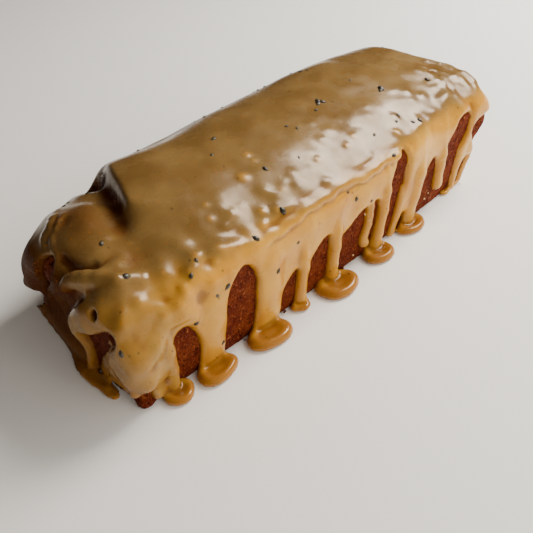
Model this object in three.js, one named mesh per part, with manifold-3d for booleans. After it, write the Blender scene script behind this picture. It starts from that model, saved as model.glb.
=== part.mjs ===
// An espresso halva loaf cake: one baked sponge loaf under a poured halva icing that has
// run down its sides in drips and set in small puddles round its foot.
// Units are millimetres, +Z is up, +X runs along the loaf, and -Y is the side that faces front.

import * as THREE from 'three';
import { mergeVertices } from 'three/addons/utils/BufferGeometryUtils.js';
import Module from 'manifold-3d';

const wasm = await Module();
wasm.setup();

// ---------------------------------------------------------------- driving dimensions

const HALF_LENGTH = 150;     // of the loaf's flat base
const HALF_WIDTH = 58.5;     // of the loaf's flat base
const SIDE_BOW = 3.5;        // how far the long walls bulge at the middle of their length
const SIDE_FLARE = 0.08;     // how far the long walls lean out for each millimetre of height
const NEAR_FLARE = 0.10;     // the same for the end wall at -X
const FAR_FLARE = 0.40;      // and at +X, where the loaf bulged over its tin
const SHOULDER = 65;         // height at which the front wall turns into the crown
const REAR_DROP = 6;         // the rear wall turns into it this much lower
const CREST = 87;            // height of the crown's ridge
const CREST_Y = 8;           // the ridge lies a little behind the middle
const FRONT_BEND = 1.9;      // exponent of the crown's curve, from the ridge to the front
const BACK_BEND = 3.0;       // and from the ridge to the back
const NEAR_STEP = 10;        // the crown drops this much where its split opened near the -X end
const NEAR_SINK = 12;        // the rear shoulder sinks this much more beyond that split
const NEAR_BEND = 0.8;       // and the crown's rear curve is rounder by this much
const FAR_FALL = 5;          // and sinks this much towards the +X end
const COAT = 3;              // thickness of the icing on the loaf
const PUDDLE_HEIGHT = 4.5;
const GAP = 0.3;             // between the icing's inner wall and the loaf
const FLOOR_DEPTH = 80;      // how far the block that levels the base reaches below it

// Swellings and hollows of the loaf itself: middle, radii and height of each one.
const FORMS = [
  { at: [-107, -2, 80], radii: [9, 24, 18], height: -6 },    // hollow behind the split crust
  { at: [-127, 8, 80], radii: [15, 22, 20], height: 4 },     // knoll between hollow and end
];

// Lumps of halva under the icing, which only the icing's outer wall follows.
const LUMPS = [
  { at: [-152, -46, 62], radii: [13, 15, 14], height: 5 },
  { at: [-150, -22, 64], radii: [12, 10, 10], height: 5 },
  { at: [-132, -48, 72], radii: [11, 10, 12], height: 3 },
  { at: [-112, -58, 68], radii: [11, 9, 10], height: 3.5 },
  { at: [-92, -60, 66], radii: [9, 8, 10], height: 2.5 },
  { at: [-70, -60, 67], radii: [11, 8, 10], height: 3.5 },
  { at: [-146, -58, 30], radii: [14, 16, 24], height: 3.5 },
  { at: [84, 34, 86], radii: [30, 20, 16], height: 2.5 },
  { at: [-84, 14, 90], radii: [16, 24, 16], height: 2.5 },
];

// Bare places where the sponge shows between the drips: one row for each, with its edges
// measured along the wall at its foot and under its arch, the height of the arch, the place
// of its highest point, and the height where it starts if that isn't the base.
const FRONT_WINDOWS = [
  { foot: [-172, -141], head: [-170, -143], top: 9 },
  { foot: [-129, -112], head: [-129, -112], top: 43, apex: -123 },
  { foot: [-95, -72], head: [-90, -69], top: 58, apex: -81 },
  { foot: [-50, -37], head: [-48, -36], top: 31, apex: -37 },
  { foot: [-24, -9], head: [-27, -8], top: 41, apex: -11 },
  { foot: [4, 36], head: [1, 39], top: 43, apex: 28 },
  { foot: [46, 58], head: [48, 65], top: 66, apex: 63 },
  { foot: [63, 72], head: [65, 70], top: 17 },
  { foot: [82, 119], head: [89, 117], top: 43, apex: 101 },
  { foot: [118, 124], head: [115, 142], top: 62, apex: 138 },
  { foot: [133, 137], head: [141, 152], top: 25, apex: 151 },
  { foot: [160, 178], head: [153, 182], top: 52, sill: 30, inset: 7 },
];
const BACK_WINDOWS = [
  { foot: [-132, -112], head: [-131, -114], top: 36 },
  { foot: [-98, -86], head: [-99, -87], top: 22 },
  { foot: [-70, -44], head: [-68, -47], top: 46 },
  { foot: [-30, -17], head: [-29, -18], top: 28 },
  { foot: [0, 24], head: [2, 22], top: 40 },
  { foot: [38, 50], head: [39, 49], top: 20 },
  { foot: [68, 90], head: [70, 89], top: 50 },
  { foot: [108, 126], head: [109, 125], top: 33 },
];
const NEAR_WINDOWS = [
  { foot: [-21, -6], head: [-46, -13], top: 45, apex: -38 },
  { foot: [-64, -19], head: [-62, -24], top: 5 },
  { foot: [46, 51], head: [18, 46], top: 50, sill: 5 },
];
const FAR_WINDOWS = [
  { foot: [-38, -20], head: [-37, -22], top: 34 },
  { foot: [6, 30], head: [8, 28], top: 46 },
];

// Drips: where each one leaves the curtain and where it ends, how wide it is, and how far
// its puddle has spread along the wall and away from it (none where it hangs free).
const FRONT_DRIPS = [
  { head: [-132, 46], foot: [-133, 0], width: 9, puddle: [9.5, 8] },
  { head: [-101, 60], foot: [-104, 0], width: 18, puddle: [13, 9.5] },
  { head: [-59, 60], foot: [-63, 0], width: 20, puddle: [15, 11] },
  { head: [-31, 48], foot: [-33, 0], width: 9, puddle: [7, 6] },
  { head: [-3, 52], foot: [-5, 0], width: 10, puddle: [15.5, 12] },
  { head: [31, 52], foot: [27, 12], width: 9 },
  { head: [44, 58], foot: [39, 0], width: 10, puddle: [12.5, 10] },
  { head: [67, 48], foot: [60, 0], width: 6, puddle: [4, 3] },
  { head: [82, 60], foot: [78, 0], width: 12, puddle: [13.5, 9] },
  { head: [112, 56], foot: [111, 19], width: 10 },
  { head: [148, 54], foot: [129, 0], width: 10, puddle: [6, 4] },
  { head: [160, 44], foot: [143, 0], width: 8, puddle: [5, 3.5] },
];
const BACK_DRIPS = [
  { head: [-143, 50], foot: [-142, 0], width: 10, puddle: [11, 8] },
  { head: [-106, 50], foot: [-105, 0], width: 13, puddle: [12, 9] },
  { head: [-78, 52], foot: [-78, 0], width: 14, puddle: [15, 11] },
  { head: [-37, 50], foot: [-37, 0], width: 12, puddle: [12, 8] },
  { head: [-9, 46], foot: [-9, 0], width: 14, puddle: [14, 10] },
  { head: [12, 52], foot: [13, 16], width: 8 },
  { head: [31, 46], foot: [31, 0], width: 11, puddle: [11, 8] },
  { head: [59, 52], foot: [59, 0], width: 15, puddle: [16, 11] },
  { head: [99, 52], foot: [99, 0], width: 14, puddle: [13, 9] },
  { head: [146, 50], foot: [142, 0], width: 14, puddle: [14, 8] },
];
const NEAR_DRIPS = [
  { head: [-8, 40], foot: [-2, 1], width: 9 },
  { head: [14, 40], foot: [24, 0], width: 32, puddle: [22, 6] },
  { head: [-17, 4], foot: [-18, 0], width: 20, puddle: [20, 7] },
];
const FAR_DRIPS = [
  { head: [-48, 46], foot: [-49, 0], width: 11, puddle: [10, 7] },
  { head: [-7, 50], foot: [-6, 0], width: 16, puddle: [15, 9] },
  { head: [42, 46], foot: [42, 0], width: 14, puddle: [14, 8] },
];

const SEGMENTS = [30, 11, 5];   // facets of the loaf and its coat along X, Y and Z
const SPONGE_BROWN = 0x7a3d22;
const ICING_TAN = 0xb98f58;

// ---------------------------------------------------------------- the loaf's skin

function ramp(value, from, to) {
  const t = THREE.MathUtils.clamp((value - from) / (to - from), 0, 1);
  return t * t * (3 - 2 * t);
}

// The larger of two distances, with the corner between their surfaces rounded off.
function roundedMax(a, b, radius) {
  const outside = Math.hypot(Math.max(a + radius, 0), Math.max(b + radius, 0));
  return Math.min(-radius, Math.max(a, b)) + outside;
}

function wallX(side, z) {
  const flare = side < 0 ? NEAR_FLARE : FAR_FLARE;
  return HALF_LENGTH + flare * THREE.MathUtils.clamp(z, 0, SHOULDER);
}

function wallY(x, z) {
  const bow = SIDE_BOW * Math.max(0, 1 - (x / HALF_LENGTH) ** 2);
  return HALF_WIDTH + bow + SIDE_FLARE * THREE.MathUtils.clamp(z, 0, SHOULDER);
}

function crownHeight(x, y) {
  const crest = CREST - FAR_FALL * ramp(x, 95, 160) - NEAR_STEP * ramp(-x, 91, 107);
  const sunk = ramp(-x, 90, 130) * ramp(y, -20, 30);
  const low = SHOULDER - NEAR_SINK * sunk - REAR_DROP * ramp(y, -20, 30);
  const span = wallY(x, SHOULDER) + (y < CREST_Y ? CREST_Y : -CREST_Y);
  const bend = y < CREST_Y ? FRONT_BEND : BACK_BEND - NEAR_BEND * sunk;
  const share = Math.abs(y - CREST_Y) / span;
  return low + (crest - low) * (1 - share ** bend);
}

function swelling(rows, x, y, z) {
  return rows.reduce((sum, { at, radii, height }) => {
    const away = ((x - at[0]) / radii[0]) ** 2 + ((y - at[1]) / radii[1]) ** 2
      + ((z - at[2]) / radii[2]) ** 2;
    return sum + height * Math.exp(-away);
  }, 0);
}

// Signed distance in millimetres from the loaf's skin, below zero inside the loaf.
function skin(x, y, z) {
  const corner = y < 0 ? 7 : 13 + 8 * ramp(-x, 0, 100);
  const beyondX = Math.abs(x) - wallX(x, z) + corner;
  const beyondY = Math.abs(y) - wallY(x, z) + corner;
  const walls = Math.hypot(Math.max(beyondX, 0), Math.max(beyondY, 0))
    + Math.min(Math.max(beyondX, beyondY), 0) - corner;
  const edge = 8 + 8 * ramp(y, 0, 50) + 17 * ramp(-x, 105, 145)
    + 9 * ramp(x, 120, 150) * ramp(y, -40, 0);
  const crown = z - crownHeight(x, y);
  return roundedMax(walls, crown, edge) - swelling(FORMS, x, y, z);
}

// ---------------------------------------------------------------- solids

function toSolid(geometry) {
  const bare = geometry.index ? geometry : geometry.clone();
  bare.deleteAttribute('normal');
  bare.deleteAttribute('uv');
  const merged = mergeVertices(bare, 1e-4);
  return new wasm.Manifold(new wasm.Mesh({
    numProp: 3,
    vertProperties: new Float32Array(merged.attributes.position.array),
    triVerts: new Uint32Array(merged.index.array),
  }));
}

function toGeometry(solid) {
  const { numProp, vertProperties, triVerts } = solid.getMesh();
  const positions = new Float32Array((vertProperties.length / numProp) * 3);
  for (let i = 0; i < positions.length / 3; i += 1) {
    positions.set(vertProperties.subarray(i * numProp, i * numProp + 3), i * 3);
  }
  const geometry = new THREE.BufferGeometry();
  geometry.setAttribute('position', new THREE.BufferAttribute(positions, 3));
  geometry.setIndex(new THREE.BufferAttribute(new Uint32Array(triVerts), 1));
  geometry.computeVertexNormals();
  return geometry;
}

// Spaces even steps from -1 to 1 more closely towards both ends, where the form turns.
function crowdEnds(t) {
  return THREE.MathUtils.lerp(t, Math.sin((t * Math.PI) / 2), 0.55);
}

// A box whose every vertex is pushed out from the loaf's spine until it meets the surface
// that lies `grown` millimetres outside the skin.
function pushedOut(grown, rows) {
  const reach = HALF_LENGTH + 8;
  const middle = SHOULDER / 2;
  const surface = (x, y, z) => skin(x, y, z) - grown - swelling(rows, x, y, z);
  const geometry = new THREE.BoxGeometry(2, 2, 2, ...SEGMENTS);
  const position = geometry.attributes.position;
  const start = new THREE.Vector3();
  const way = new THREE.Vector3();
  for (let i = 0; i < position.count; i += 1) {
    const x = crowdEnds(position.getX(i)) * reach;
    start.set(THREE.MathUtils.clamp(x, HALF_WIDTH - reach, reach - HALF_WIDTH), 0, middle);
    way.set(x, crowdEnds(position.getY(i)) * HALF_WIDTH, middle + position.getZ(i) * middle);
    way.sub(start);
    let inside = 0;
    let outside = 3;
    for (let step = 0; step < 30; step += 1) {
      const t = (inside + outside) / 2;
      const point = way.clone().multiplyScalar(t).add(start);
      if (surface(point.x, point.y, point.z) < 0) inside = t;
      else outside = t;
    }
    way.multiplyScalar(inside).add(start);
    position.setXYZ(i, way.x, way.y, way.z);
  }
  return toSolid(geometry);
}

// Everything below the plane that the cake stands on.
function belowFloor() {
  const block = new THREE.BoxGeometry(500, 300, FLOOR_DEPTH);
  block.translate(0, 0, -FLOOR_DEPTH / 2);
  return toSolid(block);
}

// The four walls: the turn that brings each one round to the front, and how far out it lies
// at a place along it and a height.
const WALLS = {
  front: { turn: 0, depth: (a, z) => wallY(a, z) },
  back: { turn: Math.PI, depth: (a, z) => wallY(-a, z) },
  near: { turn: -Math.PI / 2, depth: (a, z) => wallX(-1, z) },
  far: { turn: Math.PI / 2, depth: (a, z) => wallX(1, z) },
};

// Puts a geometry made for the front wall, with -Y pointing out, against another wall.
function ontoWall(geometry, wall) {
  return geometry.rotateZ(WALLS[wall].turn);
}

// Along the front and the far wall, positive means the same way as the turned front wall's
// +X. Along the other two the row's numbers run the other way.
function along(wall, value) {
  return wall === 'front' || wall === 'far' ? value : -value;
}

// The arched prism that bares the sponge.
function windowCutter({ foot, head, top, apex, sill = -5, inset = 15 }, wall) {
  const [footA, footB] = foot.map((v) => along(wall, v)).sort((a, b) => a - b);
  const [headA, headB] = head.map((v) => along(wall, v)).sort((a, b) => a - b);
  const rise = Math.min((headB - headA) * 0.55, (top - sill) * 0.5);
  const peak = apex === undefined ? (headA + headB) / 2 : along(wall, apex);
  const outline = new THREE.Shape();
  outline.moveTo(footA, sill);
  outline.lineTo(footB, sill);
  outline.lineTo(headB, top - rise);
  outline.quadraticCurveTo(headB, top, peak, top);
  outline.quadraticCurveTo(headA, top, headA, top - rise);
  const prism = new THREE.ExtrudeGeometry(outline, {
    depth: 45, bevelEnabled: false, curveSegments: 3,
  });
  prism.rotateX(Math.PI / 2);
  prism.translate(0, inset - WALLS[wall].depth(peak, 0), 0);
  return toSolid(ontoWall(prism, wall));
}

// One drip: a long drop turned on a lathe, flattened against the wall and leaning with it.
// Its head lies in the curtain and its foot stands out from the wall.
function dripSolid({ head, foot, width, puddle }, wall) {
  const radius = width / 2;
  const length = head[1] - foot[1];
  const bulb = puddle ? 1 : 1.15;
  const profile = [
    [0, 0], [radius * 0.85 * bulb, radius * 0.35], [radius * bulb, radius * 1.2],
    [radius * 0.85, length * 0.5], [0, length],
  ].map(([r, z]) => new THREE.Vector2(r, z));
  const drop = new THREE.LatheGeometry(profile, 8);
  drop.rotateX(Math.PI / 2);
  drop.scale(1, Math.min(1, 8 / width), 1);
  const place = ([a, z], proud) => {
    const across = along(wall, a);
    return new THREE.Vector3(across, -WALLS[wall].depth(across, z) - proud, z);
  };
  const low = place(foot, COAT * 0.6);
  const high = place(head, COAT * 0.1);
  const upright = new THREE.Vector3(0, 0, 1);
  const lean = new THREE.Quaternion().setFromUnitVectors(upright, high.sub(low).normalize());
  drop.applyQuaternion(lean);
  drop.translate(low.x, low.y, low.z - (puddle ? radius * 0.6 : 0));
  return toSolid(ontoWall(drop, wall));
}

// The flat round puddle that a drip has left on the plane below it.
function puddleSolid({ foot, puddle }, wall) {
  const profile = [[0, 0], [1, 0], [0.94, 0.7], [0.6, 1], [0, 1]]
    .map(([r, z]) => new THREE.Vector2(r, z * PUDDLE_HEIGHT));
  const pool = new THREE.LatheGeometry(profile, 12);
  pool.rotateX(Math.PI / 2);
  pool.scale(puddle[0], puddle[1], 1);
  const across = along(wall, foot[0]);
  pool.translate(across, -WALLS[wall].depth(across, 0) - puddle[1] * 0.75, 0);
  return toSolid(ontoWall(pool, wall));
}

// ---------------------------------------------------------------- the two pieces

function makeLoaf(floor) {
  return pushedOut(0, []).subtract(floor);
}

function makeIcing(floor) {
  const windows = {
    front: FRONT_WINDOWS, back: BACK_WINDOWS, near: NEAR_WINDOWS, far: FAR_WINDOWS,
  };
  const drips = { front: FRONT_DRIPS, back: BACK_DRIPS, near: NEAR_DRIPS, far: FAR_DRIPS };
  let icing = pushedOut(COAT, LUMPS);
  for (const wall of Object.keys(WALLS)) {
    for (const row of windows[wall]) icing = icing.subtract(windowCutter(row, wall));
  }
  for (const wall of Object.keys(WALLS)) {
    for (const row of drips[wall]) {
      icing = icing.add(dripSolid(row, wall));
      if (row.puddle) icing = icing.add(puddleSolid(row, wall));
    }
  }
  return icing.subtract(pushedOut(GAP, [])).subtract(floor);
}

function namedMesh(name, solid, material) {
  const mesh = new THREE.Mesh(toGeometry(solid), material);
  mesh.name = name;
  return mesh;
}

const floor = belowFloor();
const cake = new THREE.Group();
cake.add(namedMesh('loaf', makeLoaf(floor), new THREE.MeshStandardMaterial({
  color: SPONGE_BROWN, roughness: 0.95, metalness: 0,
})));
cake.add(namedMesh('icing', makeIcing(floor), new THREE.MeshStandardMaterial({
  color: ICING_TAN, roughness: 0.25, metalness: 0,
})));

// The origin is the middle of the foot of the whole cake's box.
const extent = new THREE.Box3().setFromObject(cake);
const centre = extent.getCenter(new THREE.Vector3());
cake.position.set(-centre.x, -centre.y, -extent.min.z);

export default cake;
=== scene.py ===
# %% [markdown]
# # An espresso halva loaf cake
#
# The real cake is one long chocolate loaf, baked in a tin, with a halva and coffee icing
# poured over it while it was still runny. The icing set as it ran: it lies smooth on top,
# gathers in lumps over the sunken end, falls down the walls in drips and stands round the
# foot in small puddles. Between the drips the open crumb of the sponge shows.
#
# Everything here is worked out in millimetres round the middle of the loaf's foot, and only
# turned into metres when a mesh is made.

import bpy
import numpy as np
from mathutils import Matrix, Vector


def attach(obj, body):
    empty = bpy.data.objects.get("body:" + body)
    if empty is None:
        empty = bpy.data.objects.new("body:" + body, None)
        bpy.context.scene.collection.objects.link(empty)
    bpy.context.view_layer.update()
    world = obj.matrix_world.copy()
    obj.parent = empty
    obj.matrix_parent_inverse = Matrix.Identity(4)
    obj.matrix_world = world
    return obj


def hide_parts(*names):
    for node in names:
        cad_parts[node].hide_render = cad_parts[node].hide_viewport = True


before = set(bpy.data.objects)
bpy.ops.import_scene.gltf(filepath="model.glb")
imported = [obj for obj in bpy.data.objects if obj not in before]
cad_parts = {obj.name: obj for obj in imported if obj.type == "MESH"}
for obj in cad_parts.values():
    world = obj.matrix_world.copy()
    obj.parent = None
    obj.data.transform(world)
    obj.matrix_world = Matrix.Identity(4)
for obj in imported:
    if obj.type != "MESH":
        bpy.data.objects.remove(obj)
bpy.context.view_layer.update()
MM = 0.001

loaf_points = np.array([v.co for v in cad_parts["loaf"].data.vertices]) / MM
foot_points = loaf_points[loaf_points[:, 2] < 0.1]
FOOT_LOW, FOOT_HIGH = foot_points.min(0), foot_points.max(0)
ORIGIN = (FOOT_LOW + FOOT_HIGH) / 2
HALF_LENGTH, HALF_BREADTH = ((FOOT_HIGH - FOOT_LOW) / 2)[:2]
CREST = loaf_points[:, 2].max()
print("middle of the foot", ORIGIN.round(2), "half length and breadth",
      round(HALF_LENGTH, 2), round(HALF_BREADTH, 2), "crest", round(CREST, 2))

# %% [markdown]
# ## The camera
#
# The camera looks down on the cake's front left corner, from about half a metre away. It is
# made first, so that every later step can be looked at through it. Its place is given from
# the middle of the foot, like everything else.

# %% Set the camera
CAMERA_PLACE = (-269.7, -291.4, 294.4)
AZIMUTH, ELEVATION, ROLL = np.radians((-42.73, 38.84, -3.60))
SENSOR, LENS = 36.0, 47.28


def camera_axes(azimuth, elevation, roll):
    """Right, up and back, as the columns of a rotation."""
    flat = np.cos(elevation)
    back = Vector((np.sin(azimuth) * flat, -np.cos(azimuth) * flat, np.sin(elevation)))
    right = Vector((0, 0, 1)).cross(back).normalized()
    up = back.cross(right)
    turned = (np.cos(roll) * right + np.sin(roll) * up, np.cos(roll) * up - np.sin(roll) * right)
    return Matrix((*turned, back)).transposed()


camera_data = bpy.data.cameras.new("camera")
camera_data.sensor_width, camera_data.lens = SENSOR, LENS
camera_data.clip_start, camera_data.clip_end = 0.02, 20
camera = bpy.data.objects.new("camera", camera_data)
camera.matrix_world = camera_axes(AZIMUTH, ELEVATION, ROLL).to_4x4()
camera.location = (Vector(CAMERA_PLACE) + Vector(ORIGIN)) * MM
bpy.context.scene.collection.objects.link(camera)
bpy.context.scene.camera = camera
print("camera at", camera.location)

# %% [markdown]
# ## The loaf's skin
#
# The loaf could be modelled by hand with subdivision surfaces, but icing is easier to pour in
# code. So the loaf is written as a signed distance: a function that says how far a point lies
# outside its skin, or below zero, how deep inside. Walls that lean out, a crown that rises
# towards its ridge and a split that sank near one end are each a line or two of it. A body of
# icing is then anything within a few millimetres of that skin.

# %% Describe the skin
SIDE_BOW, SIDE_FLARE, NEAR_FLARE, FAR_FLARE = 3.5, 0.08, 0.10, 0.40
SHOULDER, REAR_DROP, CREST_Y = 65, 6, 8
FRONT_BEND, BACK_BEND, NEAR_BEND = 1.9, 3.0, 0.8
NEAR_STEP, NEAR_SINK, FAR_FALL = 10, 12, 5
STEP_X, STEP_WIDTH, STEP_SLANT = 102, 8, 0.37        # where the crown steps down, and how aslant
STEP_EARLY, STEP_LATE = 35, 10                       # how far the step eases out at the front
FORMS = [                                            # middle, radii, height: swells and dents
    (-98, 48, 71, 7, 13, 14, -13), (-106, 18, 78, 8, 13, 14, -3.5), (-112, 2, 78, 8, 10, 12, -3),
    (-119, -12, 78, 8, 9, 10, -2.2), (-127, 8, 80, 15, 20, 18, 4), (-48, 45, 82, 28, 14, 14, -4),
    (170, 6, 80, 12, 30, 12, -3.5), (177, -57, 64, 10, 13, 9, -6), (174, -58, 42, 10, 10, 10, 5.6),
    (-151, -59, 2, 6, 5, 5, 4.5), (-152, -34, 1, 9, 30, 10, 2.6), (-155, 20, 38, 10, 16, 14, -5),
    (-146, 50, 66, 16, 14, 12, -2.5), (-154, 34, 24, 10, 9, 10, -2.6),
    (-150, 56, 23, 9, 9, 7, 4.5),
]
HOLLOWS = [                                          # where the corner broke away at the foot
    ((-159, 46, 4), (16, 17, 24)), ((-149, 64, 0), (14, 18, 14)),
    ((-157, -50, 50), (9, 4.5, 4)),
]
HOLLOW_EDGE = 3                                      # how round the edge of such a break is


def ramp(value, start, end):
    """Rises softly from 0 to 1 as a value goes from start to end."""
    share = np.clip((value - start) / (end - start), 0, 1)
    return share * share * (3 - 2 * share)


def rounded_max(a, b, radius):
    """Where two bodies overlap, with the edge between them rounded."""
    outside = np.hypot(np.maximum(a + radius, 0), np.maximum(b + radius, 0))
    return np.minimum(-radius, np.maximum(a, b)) + outside


def smooth_min(a, b, blend):
    """Two bodies melted together, with a soft fillet between them."""
    share = np.clip(0.5 + (b - a) / (2 * blend), 0, 1)
    return b * (1 - share) + a * share - blend * share * (1 - share)


def wall_x(x, z):
    """How far out an end wall stands: it leans out up to the shoulder."""
    return HALF_LENGTH + np.where(x < 0, NEAR_FLARE, FAR_FLARE) * np.clip(z, 0, SHOULDER)


def wall_y(x, z):
    """How far out the front and back walls stand: a little less towards the ends."""
    bow = SIDE_BOW * np.minimum((x / HALF_LENGTH) ** 2, 1)
    return HALF_BREADTH - bow + SIDE_FLARE * np.clip(z, 0, SHOULDER)


def crown_height(x, y):
    """How high the crown stands: an arch over the breadth that steps down to a sunken end."""
    front = ramp(-y, 6, 30)
    slant = STEP_SLANT * np.clip(y, -20, 45)
    step = ramp(-x, STEP_X - slant - STEP_EARLY * front,
                STEP_X + STEP_WIDTH - slant + STEP_LATE * front)
    crest = CREST - FAR_FALL * ramp(x, 95, 160) - NEAR_STEP * step
    sunk = ramp(-x, 90, 130 - 8 * ramp(y, 5, 40)) * ramp(y, -20, 30)
    low = SHOULDER - NEAR_SINK * sunk - REAR_DROP * ramp(y, -20, 30)
    span = wall_y(x, SHOULDER) + np.where(y < CREST_Y, CREST_Y, -CREST_Y)
    bend = np.where(y < CREST_Y, FRONT_BEND, BACK_BEND - NEAR_BEND * sunk)
    return low + (crest - low) * (1 - (np.abs(y - CREST_Y) / span) ** bend)


def swelling(rows, x, y, z):
    """The sum of soft bell shapes, each given by its middle, its radii and its height."""
    total = 0
    for mx, my, mz, rx, ry, rz, height in rows:
        away = ((x - mx) / rx) ** 2 + ((y - my) / ry) ** 2 + ((z - mz) / rz) ** 2
        total = total + height * np.exp(-away)
    return total


def skin(x, y, z):
    """Distance from the loaf's skin, below zero inside the loaf."""
    corner = np.where(y < 0, 7 - 3 * ramp(np.abs(x), 0, 100), 13 + 8 * ramp(-x, 0, 100))
    beyond_x = np.abs(x) - wall_x(x, z) + corner
    beyond_y = np.abs(y) - wall_y(x, z) + corner
    walls = (np.hypot(np.maximum(beyond_x, 0), np.maximum(beyond_y, 0))
             + np.minimum(np.maximum(beyond_x, beyond_y), 0) - corner)
    far_front = ramp(x, 75, 110) * ramp(-x, -148, -122) * ramp(-y, 20, 45)
    edge = (8 + 8 * ramp(y, 0, 50) + 17 * ramp(-x, 105, 145) + 9 * far_front
            + 9 * ramp(x, 120, 150) * ramp(y, -40, 0))
    body = rounded_max(walls, z - crown_height(x, y), edge) - swelling(FORMS, x, y, z)
    for middle, radii in HOLLOWS:
        away = sum(((v - m) / r) ** 2 for v, m, r in zip((x, y, z), middle, radii)) ** 0.5
        body = rounded_max(body, (1 - away) * min(radii), HOLLOW_EDGE)
    return body


print("the crown stands", round(float(crown_height(0, CREST_Y)), 1), "mm high over the middle and",
      round(float(crown_height(-135, 20)), 1), "mm over the sunken end")

# %% [markdown]
# ## A grid, and a mesh from it
#
# A distance is turned into a mesh by sampling it on a grid and finding where it passes
# through zero. Marching cubes would do, but surface nets need fewer lines and give rounder,
# more even faces: each grid cell that the surface crosses gets one vertex, in the middle of
# its crossings, and each grid edge that it crosses joins four of them in a quad. The grid is
# fine where there is much to see, at the near end and the front, and coarser behind.

# %% Make the grid
class Grid:
    """Points in rows along X, Y and Z, in millimetres round the middle of the foot."""

    def __init__(self, *axes):
        self.axes = [np.array(axis, np.float32) for axis in axes]
        self.x, self.y, self.z = np.meshgrid(*self.axes, indexing="ij", sparse=True)

    def near(self, low, high):
        """The part of the grid inside a box, as a slice for volumes and its coordinates."""
        ends = [np.searchsorted(axis, (a, b)) for axis, a, b in zip(self.axes, low, high)]
        part = tuple(slice(a, b) for a, b in ends)
        return part, self.x[part[0]], self.y[:, part[1]], self.z[:, :, part[2]]

    def sample(self, volume, points):
        """A volume's values at loose points, from the eight grid points round each one."""
        at = np.stack([np.interp(points[:, k], axis, np.arange(len(axis)))
                       for k, axis in enumerate(self.axes)], axis=1)
        cell = np.minimum(at.astype(int), np.array(volume.shape) - 2)
        share = at - cell
        total = 0
        for corner in np.ndindex(2, 2, 2):
            weight = np.prod(np.where(corner, share, 1 - share), axis=1)
            total = total + weight * volume[tuple((cell + corner).T)]
        return total


def graded(low, high, fine, coarse, start, end):
    """A row of places whose steps widen from fine to coarse between two of them."""
    places = [low]
    while places[-1] < high:
        share = np.clip((places[-1] - start) / (end - start), 0, 1)
        places.append(places[-1] + fine + (coarse - fine) * share)
    return places


FINE, MIDDLE, COARSE = 1.1, 1.35, 1.8
grid = Grid(graded(-178, 184, FINE, MIDDLE, -90, -60), graded(-92, 92, FINE, COARSE, 0, 40),
            graded(-2.3, 99, FINE, MIDDLE, 0, 30))
loaf_distance = skin(grid.x, grid.y, grid.z).astype(np.float32)
print("grid", loaf_distance.shape, "points", loaf_distance.size)

# %% Make surface nets
def surface_net(volume, grid):
    """Vertices in millimetres and quads where a volume passes through zero, facing out."""
    inside = volume < 0
    cells = tuple(n - 1 for n in volume.shape)
    crossings = np.zeros(cells, np.int8)
    for corner in np.ndindex(2, 2, 2):
        crossings += inside[tuple(slice(c, c + n) for c, n in zip(corner, cells))]
    index = np.argwhere((crossings > 0) & (crossings < 8))
    number = np.full(cells, -1, np.int64)
    number[tuple(index.T)] = np.arange(len(index))
    total, count = np.zeros((len(index), 3)), np.zeros(len(index))
    for axis in range(3):
        others = [a for a in range(3) if a != axis]
        for pair in np.ndindex(2, 2):
            start = np.zeros(3, int)
            start[others] = pair
            end = start.copy()
            end[axis] = 1
            a = volume[tuple((index + start).T)]
            b = volume[tuple((index + end).T)]
            crossed = (a < 0) != (b < 0)
            share = np.where(crossed, a / np.where(crossed, a - b, 1), 0)
            place = start + share[:, None] * (end - start)
            total += place * crossed[:, None]
            count += crossed
    place = index + total / count[:, None]
    vertices = np.stack([np.interp(place[:, k], np.arange(len(axis)), axis)
                         for k, axis in enumerate(grid.axes)], axis=1)
    return vertices, net_faces(inside, number)


def net_faces(inside, number):
    """One quad round each grid edge whose two ends lie on different sides."""
    faces = []
    for axis in range(3):
        u, v = (axis + 1) % 3, (axis + 2) % 3
        low = [slice(None)] * 3
        high = [slice(None)] * 3
        low[axis], high[axis] = slice(0, -1), slice(1, None)
        a, b = inside[tuple(low)], inside[tuple(high)]
        at = np.argwhere(a != b)
        at = at[(at[:, u] > 0) & (at[:, v] > 0)]
        at = at[(at[:, u] < number.shape[u]) & (at[:, v] < number.shape[v])]
        leaving = a[tuple(at.T)]
        step_u, step_v = np.eye(3, dtype=int)[[u, v]]
        ring = [at - step_u - step_v, at - step_v, at, at - step_u]
        quad = np.stack([number[tuple(p.T)] for p in ring], axis=1)
        faces.append(np.where(leaving[:, None], quad, quad[:, ::-1]))
    return np.concatenate(faces)


def relax(vertices, faces, rounds):
    """Evens a net out by moving its vertices to and fro between their neighbours."""
    pairs = np.concatenate([faces[:, [k, (k + 1) % 4]] for k in range(4)])
    a, b = np.concatenate([pairs, pairs[:, ::-1]]).T
    count = np.bincount(a, minlength=len(vertices))[:, None]
    for _ in range(rounds):
        for share in (0.5, -0.52):
            middle = np.stack([np.bincount(a, vertices[b, k], len(vertices)) for k in range(3)],
                              axis=1) / count
            vertices = vertices + share * (middle - vertices)
    return vertices


ball = Grid(*[np.arange(-3.0, 3.5)] * 3)
ball_net = surface_net(np.sqrt(ball.x**2 + ball.y**2 + ball.z**2) - 2, ball)
print("a ball 4 mm wide gets a net of", len(ball_net[1]), "quads")

# %% Make objects of nets
def new_piece(name, vertices, faces):
    """An object in millimetres round the middle of the foot, whose faces are smooth."""
    mesh = bpy.data.meshes.new(name)
    mesh.from_pydata(np.asarray(vertices).tolist(), [], np.asarray(faces).tolist())
    mesh.polygons.foreach_set("use_smooth", [True] * len(mesh.polygons))
    piece = bpy.data.objects.new(name, mesh)
    bpy.context.scene.collection.objects.link(piece)
    return piece


def into_frame(piece):
    """Turns a finished piece into metres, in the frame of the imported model."""
    piece.data.transform(Matrix.Scale(MM, 4) @ Matrix.Translation(ORIGIN))
    piece.data.update()


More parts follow.
